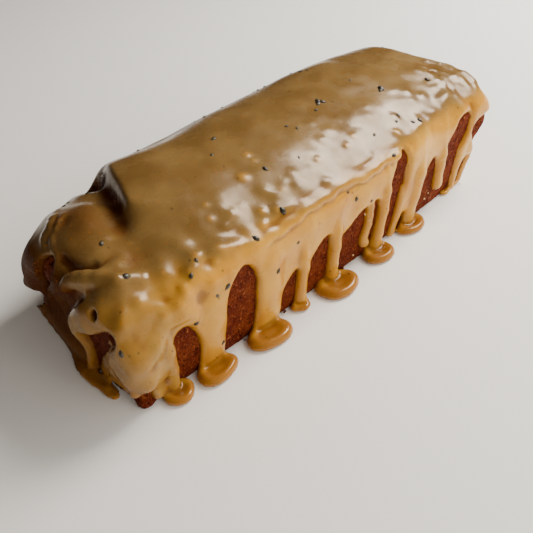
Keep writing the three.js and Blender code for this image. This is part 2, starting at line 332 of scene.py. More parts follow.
def triangles(piece):
    """How many triangles a piece's faces come to."""
    return sum(len(p.vertices) - 2 for p in piece.data.polygons)


def vertex_places(piece):
    """Where a mesh's vertices lie, as rows of three numbers."""
    places = np.empty(len(piece.data.vertices) * 3, np.float32)
    piece.data.vertices.foreach_get("co", places)
    return places.reshape(-1, 3)


def set_attribute(piece, name, values):
    """Lets a mesh carry one number for each of its vertices."""
    made = piece.data.attributes.new(name, "FLOAT", "POINT")
    made.data.foreach_set("value", np.asarray(values, np.float32))


def applied(piece):
    """Turns a piece's modifiers into its plain mesh."""
    graph = bpy.context.evaluated_depsgraph_get()
    finished = bpy.data.meshes.new_from_object(piece.evaluated_get(graph))
    piece.modifiers.clear()
    piece.vertex_groups.clear()
    piece.data = finished
    return piece


def thinned(piece, hidden, kept_share):
    """Thins the faces round some of a piece's vertices with Decimate, and leaves the rest."""
    group = piece.vertex_groups.new(name="hidden")
    group.add(hidden.tolist(), 1.0, "REPLACE")
    thin = piece.modifiers.new("thin what is hidden", "DECIMATE")
    thin.vertex_group, thin.vertex_group_factor = group.name, 100
    thin.ratio = 1 - (1 - kept_share) * len(hidden) / len(piece.data.vertices)
    return applied(piece)


trial = new_piece("trial ball", *ball_net)
print("as an object the ball has", triangles(trial), "triangles")
bpy.data.meshes.remove(trial.data)

# %% [markdown]
# ## Uneven surfaces
#
# Nothing on a cake is quite even. A coarse block of random numbers, drawn once with a fixed
# seed and spread out with smooth curves between its points, gives soft swells of any width.
# The same block with longer steps one way gives streaks.

# %% Make smooth noise
def spread(axis, spacing):
    """How much each point of a coarse row counts at each point of a fine one."""
    at = (axis - axis[0]) / spacing + 1
    cell = at.astype(int)
    f = at - cell
    weights = np.zeros((len(axis), cell.max() + 3))
    shares = ((1 - f) ** 3, 3 * f**3 - 6 * f**2 + 4, -3 * f**3 + 3 * f**2 + 3 * f + 1, f**3)
    for k, share in enumerate(shares):
        weights[np.arange(len(axis)), cell - 1 + k] = share / 6
    return weights


def smooth_noise(grid, spacing, seed):
    """Soft random swells from about -1 to 1, with their width in millimetres along X, Y, Z."""
    rows = [spread(axis, width) for axis, width in zip(grid.axes, spacing)]
    lattice = np.random.default_rng(seed).uniform(-2, 2, [r.shape[1] for r in rows])
    swells = np.einsum("xa,yb,zc,abc->xyz", *rows, lattice, optimize=True)
    return swells.astype(np.float32)


print("a block for swells 26 mm wide needs", spread(grid.axes[0], 26).shape[1], "numbers along X")

# %% [markdown]
# ## Where the sponge is bare
#
# Runny icing leaves arches of bare sponge between its drips. On the front and on the near
# end each arch has an outline of its own, drawn with the few points that its shape needs and
# softened by cutting its corners twice. The back and the far end get plainer arches of the
# same kind. Along a wall a place is given by X, or at the ends by Y, and by its height.

# %% List the bare places
BELOW = -6                                           # outlines start below the foot
FRONT_BARE = [
    [(-172, BELOW), (-172, 9), (-158, 10), (-155, 8), (-152, 11), (-149, 19), (-146.5, 10),
     (-144, 3), (-141, 4), (-139, 9), (-137, 16), (-135.5, 9), (-134, BELOW)],
    [(-130, BELOW), (-130, 10), (-132, 22), (-131, 31), (-127, 40), (-121, 43), (-115, 36),
     (-111, 25), (-110, 8), (-110, BELOW)],
    [(-96, BELOW), (-96, 7), (-93, 23), (-92, 43), (-88, 53), (-81, 59), (-75, 58), (-70, 50),
     (-68, 42), (-68, 34), (-69, 14), (-70, BELOW)],
    [(-51, BELOW), (-50, 15), (-47, 23), (-41, 29), (-35, 31), (-34, 25), (-34, 12), (-35, BELOW)],
    [(-25, BELOW), (-27, 10), (-29, 22), (-25, 31), (-20, 36), (-13, 40), (-8, 41), (-6, 33),
     (-6, 10), (-9, 3), (-10, BELOW)],
    [(4, BELOW), (2, 14), (0, 27), (4, 32), (11, 34), (16, 38), (21, 42), (27, 43), (40, 43),
     (42, 34), (42, 26), (41, 18), (39, 8), (37, BELOW)],
    [(47, BELOW), (48, 16), (49, 34), (50, 47), (55, 59), (66, 68), (70, 62), (70, 50), (67, 36),
     (65, 22), (62, 8), (60, BELOW)],
    [(64, BELOW), (66, 5), (68, 12), (72, 16), (75, 9), (76, BELOW)],
    [(85, BELOW), (85, 7), (87, 18), (90, 30), (95, 40), (102, 45), (108, 41), (110, 30),
     (110, 18), (114, 9), (120, 12), (124, BELOW)],
    [(110, BELOW), (112, 8), (119, 14), (119, 24), (117, 38), (119, 48), (128, 54), (133, 60),
     (141, 63), (149, 60), (149, 50), (145, 42), (139, 35), (138, 26), (137, 14), (136, BELOW)],
    [(141, BELOW), (141, 8), (142, 16), (147, 21), (153, 24), (157, 22), (156, 13), (151, 4),
     (150, BELOW)],
    [(150, 43), (153, 49), (159, 52), (180, 54), (180, 32), (170, 26), (162, 15), (159, 26),
     (155, 37)],
]
NEAR_BARE = [
    [(-18, BELOW), (-17, 6), (-18, 17), (-17, 25), (-18, 33), (-22, 37), (-30, 41), (-39, 46),
     (-48, 53), (-54, 57), (-58, 54), (-56, 49), (-51, 45), (-47, 39), (-43, 29), (-39, 20),
     (-34, 11), (-30, 6), (-44, 5), (-52, 4), (-60, 3), (-72, 3), (-72, BELOW)],
    [(-1, 72), (-4, 66), (-2, 58), (4, 51), (14, 41), (26, 30), (29, 29), (22, 40), (17, 48),
     (15, 56), (13, 64), (8, 70)],
    [(39, BELOW), (40, 8), (41, 17), (36, 24), (32, 29), (38, 27), (50, 20), (66, 19), (66, BELOW)],
]
BACK_ARCHES = [                                      # left, right and height of each one
    (-158, -134, 18), (-132, -113, 36), (-99, -86, 22), (-70, -45, 46), (-30, -17, 28),
    (1, 23, 40), (38, 50, 20), (69, 90, 50), (108, 126, 33),
]
FAR_ARCHES = [(-38, -21, 34), (7, 29, 46)]
print(len(FRONT_BARE + NEAR_BARE), "drawn outlines,", len(BACK_ARCHES + FAR_ARCHES), "plain arches")

# %% Measure how deep a place lies in them
def arch(left, right, top):
    """The outline of a plain arch whose left side stands a little lower than its right."""
    width = right - left
    return [(left, BELOW), (left + 0.05 * width, 0.45 * top), (left + 0.12 * width, 0.8 * top),
            (left + 0.42 * width, 0.98 * top), (left + 0.72 * width, top),
            (right - 0.06 * width, 0.82 * top), (right + 0.03 * width, 0.4 * top),
            (right, BELOW)]


def softened(outline, rounds=2):
    """Cuts the corners of a closed outline."""
    points = np.array(outline, float)
    for _ in range(rounds):
        after = np.roll(points, -1, axis=0)
        points = np.stack([0.75 * points + 0.25 * after, 0.25 * points + 0.75 * after], axis=1)
        points = points.reshape(-1, 2)
    return points


def depth_inside(along, height, outline):
    """Distance from an outline's edge on the wall, above zero inside it."""
    a, z = along[:, None, None], height[None, :, None]
    start = softened(outline)
    run = np.roll(start, -1, axis=0) - start
    share = np.clip(((a - start[:, 0]) * run[:, 0] + (z - start[:, 1]) * run[:, 1])
                    / (run**2).sum(1), 0, 1)
    away = np.hypot(a - start[:, 0] - share * run[:, 0], z - start[:, 1] - share * run[:, 1])
    crosses = (start[:, 1] > z) != (start[:, 1] + run[:, 1] > z)
    slope = run[:, 0] / np.where(run[:, 1] == 0, 1, run[:, 1])
    left = a < start[:, 0] + (z - start[:, 1]) * slope
    odd = (crosses & left).sum(2) % 2 == 1
    return np.where(odd, 1, -1) * away.min(2)


def deepest(along, height, outlines):
    """The same for several outlines on one wall."""
    return np.max([depth_inside(along, height, o) for o in outlines], axis=0)


axis_x, axis_y, axis_z = grid.axes
bare = {
    "front": deepest(axis_x, axis_z, FRONT_BARE),
    "back": deepest(axis_x, axis_z, [arch(*row) for row in BACK_ARCHES]),
    "near": deepest(axis_y, axis_z, NEAR_BARE),
    "far": deepest(axis_y, axis_z, [arch(*row) for row in FAR_ARCHES]),
}
FAR_OFF = 99                                         # stands for: no bare place near here
covered = np.full(loaf_distance.shape, FAR_OFF, np.float32)
for wall, here in {
    "front": grid.y < -35, "back": grid.y > 35, "near": grid.x < -125, "far": grid.x > 128,
}.items():
    depth = bare[wall][:, None, :] if wall in ("front", "back") else bare[wall][None]
    covered = np.where(here, np.minimum(covered, -depth), covered)
print("bare share of the grid's walls", round(float((covered < 0).mean()), 3))

# %% [markdown]
# ## How thick the icing lies
#
# The coat is an even few millimetres that rounds off to nothing at a bare place, like the
# edge of a drop. A second pour went over the sunken end: it stands a step higher than the
# first and ends in a rolled edge. Lumps of halva push the coat up from below. Each large lump
# is a soft bell shape with a place, a size and a height, and so is each pale bit that comes
# to the surface. The small ones are scattered with a fixed seed, most of them along the front
# edge of the top, where the icing also hangs over in a thicker fold with creases along it.

# %% List the lumps and the bits
COAT, LIP, THINNEST = 3.0, 2.4, 0.8                  # how thick it lies, its edge's width
POUR, POUR_LIP = 3.8, 3.4                            # the same for the second pour
SECOND_POUR = [(-36, 110), (-33, 82), (-28, 74), (-24, 71), (-24, 67), (-29, 66), (-29, 62),
               (-22, 55), (-14, 45), (-12, 37), (-12, 29), (-13, 21), (-13, 8), (-13, BELOW),
               (-92, BELOW), (-92, 110)]
LUMPS = [                                            # middle, radii, height
    (-154, -2, 4, 9, 12, 12, 2.4), (-154, -14, 2, 8, 10, 8, 2.0), (-131, -2, 82, 5, 6, 5, 1.5),
    (-120, 17, 81, 5, 5, 5, 1.3), (-136, 14, 80, 4, 6, 5, -1.3), (-128, -12, 79, 5, 5, 4, 1.2),
    (-155, -43, 65, 7, 8, 7, 3), (-141, -57, 66, 4, 4, 4, 1.6), (-152, -42, 70, 4, 4, 3, 1.2),
    (-152, -58, 64, 6, 5, 6, 2), (-127, -62, 63, 4, 4, 4, -1.4), (-118, -64, 66, 3, 4, 6, 2.4),
    (-109, -67, 57, 4.5, 4, 5, -2.4), (-101, -67, 61, 3.5, 4, 4, 1.6),
    (-115, -67, 46, 3, 4, 5, 1.8), (-124, -60, 69, 3.5, 4, 4, 1.8), (-113, -58, 72, 4, 4, 4, -1.8),
    (-97, -61, 70, 4, 4, 4, -1.8), (-132, -66, 57, 4, 3, 3, 1.6), (-135, -35, 76, 4, 4, 4, 1.6),
    (-100, -55, 72, 4, 5, 5, 1.5), (-106, -59, 71, 4, 4, 5, 1.6), (-111, -63, 69, 4, 4, 5, 2.2),
    (-117, -65, 65, 4, 4, 5, 2), (-123, -67, 60, 4, 4, 5, 2), (-122, -69, 52, 5, 4, 5, 2),
    (-153, -66, 40, 6, 5, 6, 2.2), (-156, -58, 26, 4, 5, 6, 2.4), (-156, -54, 36, 4, 5, 4, -2),
    (-150, -67, 22, 4, 4, 5, 2.4), (-146, -68, 33, 4, 4, 4, -2), (-156, -60, 15, 5, 5, 4, -1.2),
    (-141, -68, 45, 6, 4, 7, 1.6), (-149, -66, 31, 7, 5, 7, 1.6), (-153, -63, 55, 4, 4, 4, -2),
    (-133, -57, 69, 7, 6, 6, 2), (-132, -48, 75, 7, 7, 6, 1.6), (-119, -52, 73, 6, 6, 6, 1.6),
    (-102, -45, 75, 5, 5, 5, 1.5), (-132, -63, 62, 4, 4, 4, 1.2), (-137, -61, 63, 5, 4, 4, 1.2),
    (-146, -46, 72, 6, 6, 5, 1.6), (-126, 7, 84, 9, 9, 8, 1.6), (-115, 10, 80, 7, 8, 8, 1.4),
    (-143, -3, 77, 7, 8, 7, 2), (-152, 30, 60, 9, 9, 10, 1.5), (-91, -59, 72, 7, 5, 5, 2.2),
    (-80, -62, 70, 7, 5, 5, 2.2), (-68, -66, 66, 7, 5, 5, 2.2), (-72, -58, 74, 9, 6, 5, -1.8),
    (-84, 14, 90, 16, 24, 16, 1.6), (84, 34, 86, 30, 20, 16, 1.4), (108, 26, 90, 9, 20, 9, -1.2),
    (142, -28, 81, 5, 8, 6, 1.4), (142, -41, 77, 6, 5, 5, 1.5), (134, -50, 74, 8, 5, 5, 1.6),
    (123, -55, 73, 8, 5, 5, 1.5), (157, -42, 77, 7, 5, 6, 1.8), (170, -42, 76, 6, 5, 6, 1.4),
    (171, -51, 73, 5, 5, 6, 1.6), (104, -58, 72, 9, 5, 6, 1.5), (101, -56, 74, 4, 4, 4, -2),
    (149, -63, 64, 5, 4, 6, -2.2), (74, -65, 67, 4, 4, 4, -1.2), (130, -52, 75, 6, 4, 4, 1.8),
    (112, -57, 73, 5, 4, 4, 1.6), (151, -50, 74, 5, 5, 4, 1.6), (120, -60, 70, 5, 4, 5, 1.4),
    (92, -60, 71, 6, 4, 5, 1.5), (138, -62, 66, 5, 4, 6, 1.5),
]
HALVA_BITS = [                                       # x, y, z and how large
    (-28, -19, 87, 1.0), (-43, -31, 83, 1.4), (-56, -60, 70, 1.2), (-86, -62, 71, 1.3),
    (40, -44, 80, 1.0), (30, -47, 78, 1.0), (69, -56, 74, 1.3), (-79, -43, 79, 0.8),
    (-140, -59, 68, 1.4), (-154, -46, 70, 1.0), (-132, -66, 57, 1.2), (-101, -56, 73, 1.2),
    (-110, -60, 71, 0.9), (-88, -60, 73, 1.0), (-120, -53, 73, 0.6), (-120, -25, 77, 0.6),
    (-31, -51, 77, 0.9), (-16, -51, 78, 0.8), (5, -45, 78, 0.9), (-82, -62, 71, 1.0),
    (-82, -65, 67, 0.9), (-94, -63, 68, 0.9), (-43, -58, 73, 0.9), (-51, -54, 74, 1.0),
    (-75, -35, 82, 0.7), (-28, -25, 85, 0.7),
]
BIT_RADIUS, BIT_RISE, BIT_REACH = 2.1, 1.2, 8
SMALL_LUMPS = 80
SWELL_RISE, SMALL_SWELL_RISE, STREAK_RISE, RUN_RISE = 0.95, 0.52, 0.5, 0.5
TOP_RIPPLE, FAR_RIPPLE, NEAR_RIPPLE = 0.3, 0.45, 1.7
RIDGE = [                                            # x and height of the fold above the front
    (-62, 64), (-47, 66), (-25, 68), (-2, 69), (23, 67), (52, 67), (66, 65),
]
RIDGE_RISE, RIDGE_WIDTH = 2.2, 2.4
RIDGE_CREASES = [                                    # place over the ridge, depth, width
    (-3.6, 1.8, 1.0), (-6.6, 1.1, 0.9), (-9.8, 0.8, 0.9), (3.4, 0.9, 1.1),
]
print(len(LUMPS), "large lumps and dents,", len(HALVA_BITS), "bits of halva")

# %% Write how lumps and the ridge rise
def bead(distance, width):
    """From 0 at an edge to 1 a width away from it, rising as the side of a drop does."""
    share = np.clip(distance / width, 0, 1)
    return np.sqrt(1 - (1 - share) ** 2)


def directions(volume, points):
    """Which way is out, at loose points, from a volume's slope there."""
    slope = np.stack([grid.sample(volume, points + step) - grid.sample(volume, points - step)
                      for step in np.eye(3)], axis=1)
    return slope / np.maximum(np.linalg.norm(slope, axis=1), 0.1)[:, None]


def settled(points, proud, volume=loaf_distance, rounds=4):
    """Moves points straight out or in until they stand proud of a surface."""
    points = np.array(points, float)
    for _ in range(rounds):
        out = directions(volume, points)
        points = points + out * (proud - grid.sample(volume, points))[:, None]
    return points


def small_lumps(volume, count, seed):
    """Raises small round lumps, most of them where the top turns down to the front."""
    random = np.random.default_rng(seed)
    x = random.uniform(-148, 166, count)
    y = -66 + random.exponential(16, count)
    for place in settled(np.stack([x, y, np.full(count, 78)], axis=1), COAT):
        radius = random.uniform(2.2, 4.5)
        part, x, y, z = grid.near(place - 3 * radius, place + 3 * radius)
        away = ((x - place[0]) ** 2 + (y - place[1]) ** 2 + (z - place[2]) ** 2) / radius**2
        volume[part] += random.uniform(0.08, 0.24) * radius * np.exp(-away)


def ridge_rise(x, y, z):
    """The thicker fold of icing where the top turns over into the front wall."""
    line = np.interp(x, *np.array(RIDGE, float).T)
    ends = ramp(x, -70, -50) * ramp(-x, -76, -60) * ramp(-y, 50, 58)
    above = z - line - 0.5 * np.sin(x / 5.5) - 0.4 * np.sin(x / 2.3 + 1)
    creases = sum(depth * np.exp(-(((above - place) / width) ** 2))
                  for place, depth, width in RIDGE_CREASES)
    return ends * (RIDGE_RISE * np.exp(-((above / RIDGE_WIDTH) ** 2)) - creases)


print("the ridge rises", round(float(ridge_rise(0, -60, 69)), 1), "mm in the middle of the front")

# %% Work out the coat
rough_end = 1 + 0.8 * ramp(-grid.x, 92, 125)
on_walls = ramp(-grid.z, -66, -50)
near_front = ramp(-grid.x, 92, 125) * ramp(-grid.y, 15, 42)
swells = (SWELL_RISE * smooth_noise(grid, (26, 26, 26), 11)
          + SMALL_SWELL_RISE * smooth_noise(grid, (12, 12, 12), 12))
streaks = smooth_noise(grid, (7, 7, 30), 13)
runs = smooth_noise(grid, (8, 34, 34), 14)
ripples = smooth_noise(grid, (6.5, 6.5, 6.5), 16)
on_top = ramp(grid.z, 68, 76) * (TOP_RIPPLE * ramp(-grid.y, -14, 20)
                                 + FAR_RIPPLE * ramp(grid.x, 118, 150))
coat = (COAT + rough_end * swells + STREAK_RISE * on_walls * streaks
        + RUN_RISE * ramp(-grid.y, 0, 40) * runs)
coat = coat + (on_top + NEAR_RIPPLE * near_front) * ripples
coat = coat + swelling(LUMPS, grid.x, grid.y, grid.z) + ridge_rise(grid.x, grid.y, grid.z)
small_lumps(coat, SMALL_LUMPS, 15)
bit_rows = np.array(HALVA_BITS, float)
bits = [(*place, *(BIT_RADIUS * size,) * 3, BIT_RISE * size)
        for place, size in zip(settled(bit_rows[:, :3], COAT), bit_rows[:, 3])]
for row in bits:
    middle = np.array(row[:3])
    part, x, y, z = grid.near(middle - BIT_REACH, middle + BIT_REACH)
    coat[part] += swelling([row], x, y, z)
coat = np.maximum(coat, THINNEST)
pour_depth = depth_inside(axis_y, axis_z, SECOND_POUR)[None]
pour = POUR * ramp(-grid.x, 126, 144) * (0.3 + 0.7 * ramp(grid.z, 6, 34))
thick = coat * bead(covered, LIP) + pour * bead(np.minimum(covered, pour_depth), POUR_LIP)
thick = np.where(covered < 0, np.maximum(covered, -COAT), thick)
icing_distance = (loaf_distance - thick).astype(np.float32)
print("coat from", round(float(coat.min()), 1), "to", round(float(coat.max()), 1), "mm")

# %% [markdown]
# ## Drips and puddles
#
# A drip is a chain of round cones down the wall: each row gives a place along the wall, a
# height and a radius, and a wide drip is flattened towards the wall. It starts thinner than
# the coat, so that it grows out of it without a step. A puddle is a low oval mound with a
# raised rim, as an icing that runs slowly leaves it. Everything is melted together by a
# smooth minimum, which leaves soft fillets where the pieces meet.

# %% List the drips and puddles
FRONT_DRIPS = [                                      # (along, height, radius), flatness
    ([(-133, 46, 2), (-133, 32, 4.2), (-132, 16, 4.0), (-133, 2, 4.6)], 1),
    ([(-100, 64, 3), (-101, 46, 8), (-102, 30, 8.6), (-103, 12, 8.4), (-105, 2, 9)], 0.42),
    ([(-57, 66, 3), (-58, 50, 9.5), (-59, 30, 10), (-60, 12, 9.6), (-63, 2, 10)], 0.4),
    ([(-31, 48, 2), (-31, 37, 3.8), (-31, 28, 4.2), (-32, 14, 3.8), (-33, 2, 4.5)], 1),
    ([(-1, 54, 2), (-1.5, 40, 4), (-2, 28, 4.3), (-3, 14, 4.0), (-4, 2, 5)], 1),
    ([(31, 50, 1.5), (31, 41, 3.2), (31, 34, 3.3), (31.5, 27, 3.0), (29, 21, 3.0),
      (27.5, 17, 3.1), (29, 12.5, 4.0)], 1),
    ([(47, 62, 2), (46.5, 46, 4.2), (46, 30, 4.3), (44, 13, 4.2), (40, 2, 5.5)], 1),
    ([(67, 38, 1.5), (66, 26, 3.0), (64, 14, 2.6), (60, 1, 2.8)], 1),
    ([(87, 60, 2.5), (84, 42, 6.5), (82, 24, 6.0), (80, 10, 5.4), (78, 2, 6)], 0.8),
    ([(115, 56, 2), (114.5, 42, 4.2), (114, 32, 4.4), (113.5, 24, 4.4), (114, 17.5, 5.2)], 0.8),
    ([(152, 56, 1.5), (148, 42, 3.2), (143, 27, 3.2), (140, 12, 3.0), (138.5, 1, 3.0)], 0.7),
    ([(148.5, 54, 1.5), (150, 46, 2.2), (152.5, 37, 2.6), (156, 28, 3.0), (157.5, 19, 3.2),
      (156, 10, 3.2), (152.5, 2, 3.0)], 0.8),
]
BACK_DRIPS = [                                       # along, radius, and the height it swells from
    (-142, 6, -27), (-105, 7, 40), (-78, 8, 50), (-37, 6, 40), (-9, 7, 34),
    (12, 4, -14), (31, 6, 30), (59, 8, 46), (99, 7, 40), (142, 7, 34),
]
FAR_DRIPS = [(-48, 6, 34), (-6, 8, 42), (42, 7, 34)]
NEAR_DRIPS = [
    ([(-47, 52, 1.6), (-45, 42, 1.6), (-41.5, 33, 1.6), (-37.5, 25, 3.4), (-33, 16, 5.4),
      (-30, 8, 5.4), (-27, 1, 3.4)], 0.45),
    ([(-12, 44, 2), (-14, 30, 3.0), (-14, 16, 2.8), (-15, 3, 3.4)], 0.7),
]

PUDDLES = [                                          # middle, half length and breadth, height
    ((-132.5, -66, 10, 8.5), 4.0), ((-107, -69, 13.5, 10), 4.6), ((-67, -71, 15, 11.5), 5.0),
    ((-35.5, -67, 7, 5.5), 3.4), ((-5.5, -71, 16.5, 12), 4.8), ((38, -69.5, 13, 10.5), 4.6),
    ((79, -67, 14, 8.5), 4.2), ((131, -60, 6, 4), 2.6), ((145, -58, 6, 4), 2.4),
    ((-158.3, -22, 4.6, 19), 3.2), ((-158.3, -37.5, 4.0, 6.5), 2.6),
    ((-105, 68, 12, 9), 4.0), ((-78, 69, 15, 11), 4.4),
    ((-37, 68, 12, 8.5), 4.0), ((-9, 69, 14, 10), 4.4), ((31, 68, 11, 8), 3.8),
    ((59, 69, 16, 11), 4.6), ((99, 68, 13, 9), 4.2), ((142, 63, 14, 8), 4.0),
    ((153, -49, 7, 10), 3.6), ((155, -6, 9, 15), 4.4), ((154, 42, 8, 14), 4.2),
]
MELT, MARGIN = 1.6, 6                                # how softly pieces melt in, and how far off
BASIN, RIM, RIM_PLACE, RIM_WIDTH = 0.74, 0.34, 0.72, 0.2    # a puddle's middle and raised rim
print(len(FRONT_DRIPS) + len(BACK_DRIPS) + len(FAR_DRIPS) + len(NEAR_DRIPS), "drips and",
      len(PUDDLES), "puddles")

# %% Write how drips and puddles melt in
def wall_point(wall, along, height):
    """A point near a wall, from its place along the wall and its height."""
    if wall in ("front", "back"):
        side = -1 if wall == "front" else 1
        return (along, side * wall_y(along, height), height)
    side = -1 if wall == "near" else 1
    return (side * wall_x(side, height), along, height)


def cone_distance(start, end, radii, flat=(1, 1, 1)):
    """Distance from a round cone between two points, with the part of the grid round it."""
    reach = max(radii) + MARGIN
    part, x, y, z = grid.near(np.minimum(start, end) - reach, np.maximum(start, end) + reach)
    run = end - start
    from_start = (x - start[0], y - start[1], z - start[2])
    share = np.clip(sum(f * r for f, r in zip(from_start, run)) / (run @ run), 0, 1)
    length = np.sqrt(sum(((f - share * r) / k) ** 2 for f, r, k in zip(from_start, run, flat)))
    return part, (length - radii[0] - share * (radii[1] - radii[0])) * min(1, min(flat) + 0.2)


def add_cones(points, radii, flat=(1, 1, 1)):
    """Melts a chain of round cones into the icing."""
    for k in range(len(points) - 1):
        part, distance = cone_distance(points[k], points[k + 1], radii[k:k + 2], flat)
        icing_distance[part] = smooth_min(icing_distance[part], distance, MELT)


def add_drip(wall, rows, flatness=1):
    """Melts a drip into the icing, flattened towards its wall."""
    radii = [radius for _, _, radius in rows]
    proud = 0.25 * np.array(radii) * flatness
    points = settled([wall_point(wall, along, height) for along, height, _ in rows], proud)
    flat = (1, flatness, 1) if wall in ("front", "back") else (flatness, 1, 1)
    add_cones(points, radii, flat)


def plain_drip(along, radius, height):
    """A drip that thins towards its foot. A negative height ends it that far above the foot."""
    if height < 0:
        return [(along, 56, 2), (along, 42, 0.8 * radius), (along + 1, -height, 0.9 * radius)]
    return [(along, height + 20, 0.35 * radius), (along, height + 7, 0.7 * radius),
            (along, height - 6, 0.9 * radius), (along, 0.4 * height, 0.8 * radius),
            (along - 1, 2, radius)]


def add_puddle(middle_x, middle_y, half_x, half_y, height, turn):
    """Melts one puddle into the icing."""
    reach_x, reach_y = half_x + MARGIN, half_y + MARGIN
    part, x, y, z = grid.near((middle_x - reach_x, middle_y - reach_y, -3),
                              (middle_x + reach_x, middle_y + reach_y, height + MARGIN))
    u, v = (x - middle_x) / half_x, (y - middle_y) / half_y
    angle = np.arctan2(v, u)
    wobble = 1 + 0.05 * np.sin(2 * angle + turn) + 0.04 * np.sin(3 * angle + 2 * turn)
    out = np.hypot(u, v) / wobble
    rim = BASIN + RIM * np.exp(-(((out - RIM_PLACE) / RIM_WIDTH) ** 2))
    distance = rounded_max((out - 1) * min(half_x, half_y), z - height * rim, 0.55 * height)
    icing_distance[part] = smooth_min(icing_distance[part], distance, MELT)


print("a plain drip has", len(plain_drip(0, 6, 30)) - 1, "round cones")

# %% Melt the drips and puddles in
for wall, drips in (("front", FRONT_DRIPS), ("near", NEAR_DRIPS)):
    for rows, flatness in drips:
        add_drip(wall, rows, flatness)
for wall, drips in (("back", BACK_DRIPS), ("far", FAR_DRIPS)):
    for row in drips:
        add_drip(wall, plain_drip(*row), 0.65)
for turn, (place, height) in enumerate(PUDDLES):
    add_puddle(*place, height, turn)
print("share of the grid's points inside the cake", round(float((icing_distance < 0).mean()), 3))

# %% [markdown]
# ## Folds, wrinkles and cuts
#
# Where the icing ran over the sunken end it didn't lie flat. It hangs there in a fold with a
# foot of its own, curls up in a nose and ends in torn lobes. Its skin wrinkled as it set, and
# a crease, a notch and a small pit go into it. Sculpting would suit such forms too, but a
# rope of round cones along a few points can be changed at any time. A cut is the same rope,
# taken away.

# %% List the folds and wrinkles
LOBES = [                                            # x, y, z, radius, at the tongue's lower edge
    [(-153.5, -59, 24, 1.6), (-154.5, -57.5, 12.5, 3.0)],
    [(-153, -50, 20, 1.4), (-153.5, -50, 9, 2.4)],
    [(-144, -61.5, 18, 1.4), (-143.5, -62, 6, 3.0)],
    [(-139.5, -61.5, 16, 1.2), (-139.5, -61.5, 7, 2.0)],
]
NOSE = [(-143, -44, 76, 5), (-147, -36, 75, 5), (-151, -29, 73.5, 5), (-154, -24, 72.5, 4.8),
        (-157, -20, 71, 4.2), (-160, -18, 68.5, 3.4), (-161, -19, 66, 2.6)]   # x, y, z, radius
NOTCH = [(-155, -31, 65), (-158, -26, 64.5), (-161, -21, 62.5), (-163, -16, 61)]
NOTCH_RADIUS = 2.2
FOLD_EDGE = [(-147, 1, 76, 1.4), (-150, -1, 73, 1.5), (-153, -3, 69, 1.5), (-157, -3, 63, 1.6),
             (-159, 6, 50, 1.6), (-157, 22, 34, 1.6)]
FOLD_SHEET = [(-151.5, 22, 32, 1.8), (-150.5, 28, 3, 2.2), (-150.5, 32, 21, 1.8),
              (-150, 37, 3, 2.2), (-149.5, 41, 13, 1.8), (-149, 46, 3, 2.0), (-149, 49, 6, 1.6),
              (-148.5, 57, 1.2, 1.4)]
FOLD_FOOT = [(-148.5, 50, 1.5, 1.8), (-150, 36, 1.5, 2.0), (-151, 26, 1.5, 2.0),
             (-152.8, 12, 1.5, 2.2), (-156, 0, 1.5, 2.4), (-159.5, -9, 1.5, 2.4)]
WRINKLES = [
    [(-128, 33, 77), (-137, 25, 78), (-141, 21, 78), (-145, 19, 75), (-148, 17, 74), (-150, 12, 72)],
    [(-135, 24, 80), (-140, 20, 79), (-143, 16, 77), (-147, 15, 75)],
    [(-132, 19, 82), (-137, 15, 81), (-142, 12, 79)],
    [(-145, 11, 77), (-147, 8, 76), (-149, 3, 74), (-150, -1, 73)],
    [(138, -20, 83), (142, -28, 81), (141, -36, 79), (143, -41, 77), (134, -50, 74), (123, -55, 73)],
    [(150, -26, 80), (153, -33, 79), (157, -42, 76), (164, -40, 77), (170, -41, 76), (171, -51, 73)],
    [(147, -18, 82), (150, -26, 80), (149, -36, 79), (146, -46, 76), (140, -55, 72)],
    [(-138, -66, 54), (-132, -67, 51), (-125, -67, 50), (-118, -68, 50), (-113, -68, 51)],
    [(158, -14, 80), (163, -24, 79), (164, -33, 78), (161, -45, 75), (158, -54, 71)],
]
WRINKLE_RADIUS = 1.2
CREASE = [(-149, -5, 73), (-150, -12, 72), (-149.5, -18, 72.5), (-147, -23, 73.5), (-143, -25, 75)]
CREASE_RADIUS = 2.3
PIT, PIT_RADIUS, PIT_FLOOR = (-157, -43.5, 62.5), 2.6, -1
NOSE_LIFT, NOTCH_LIFT, CREASE_LIFT = 2.6, 2.8, 0.5   # how high each lies over the even coat
FOLD_LIFT, WRINKLE_LIFT = -0.6, 0.2
CUT_EDGE = 1.2                                       # how round the edge of a cut is
print(len(WRINKLES), "wrinkles,", len(LOBES), "torn lobes")

# %% Melt the folds in and make the cuts
def add_rope(rows, proud=None):
    """Melts in a rope, from rows of x, y, z and radius, that may lie on the icing."""
    rows = np.array(rows, float)
    places = rows[:, :3] if proud is None else settled(rows[:, :3], proud)
    add_cones(places, rows[:, 3])


def carve(points, radius):
    """Cuts a round channel along points out of the icing."""
    for start, end in zip(points, points[1:]):
        part, distance = cone_distance(start, end, (radius, radius))
        icing_distance[part] = rounded_max(icing_distance[part], -distance, CUT_EDGE)


add_rope(NOSE, COAT + NOSE_LIFT)
carve(settled(NOTCH, COAT + NOTCH_LIFT), NOTCH_RADIUS)
add_rope(FOLD_EDGE, COAT + FOLD_LIFT)
for rows in (FOLD_SHEET, FOLD_FOOT, *LOBES):
    add_rope(rows)
for line in WRINKLES:
    add_rope([(*point, WRINKLE_RADIUS) for point in line], COAT + WRINKLE_LIFT)
carve(settled(CREASE, COAT + CREASE_LIFT), CREASE_RADIUS)
pit_floor, pit_mouth = settled([PIT], PIT_FLOOR)[0], settled([PIT], COAT + POUR + 6)[0]
carve([pit_floor, pit_mouth], PIT_RADIUS)
print("the same with the folds and cuts", round(float((icing_distance < 0).mean()), 3))

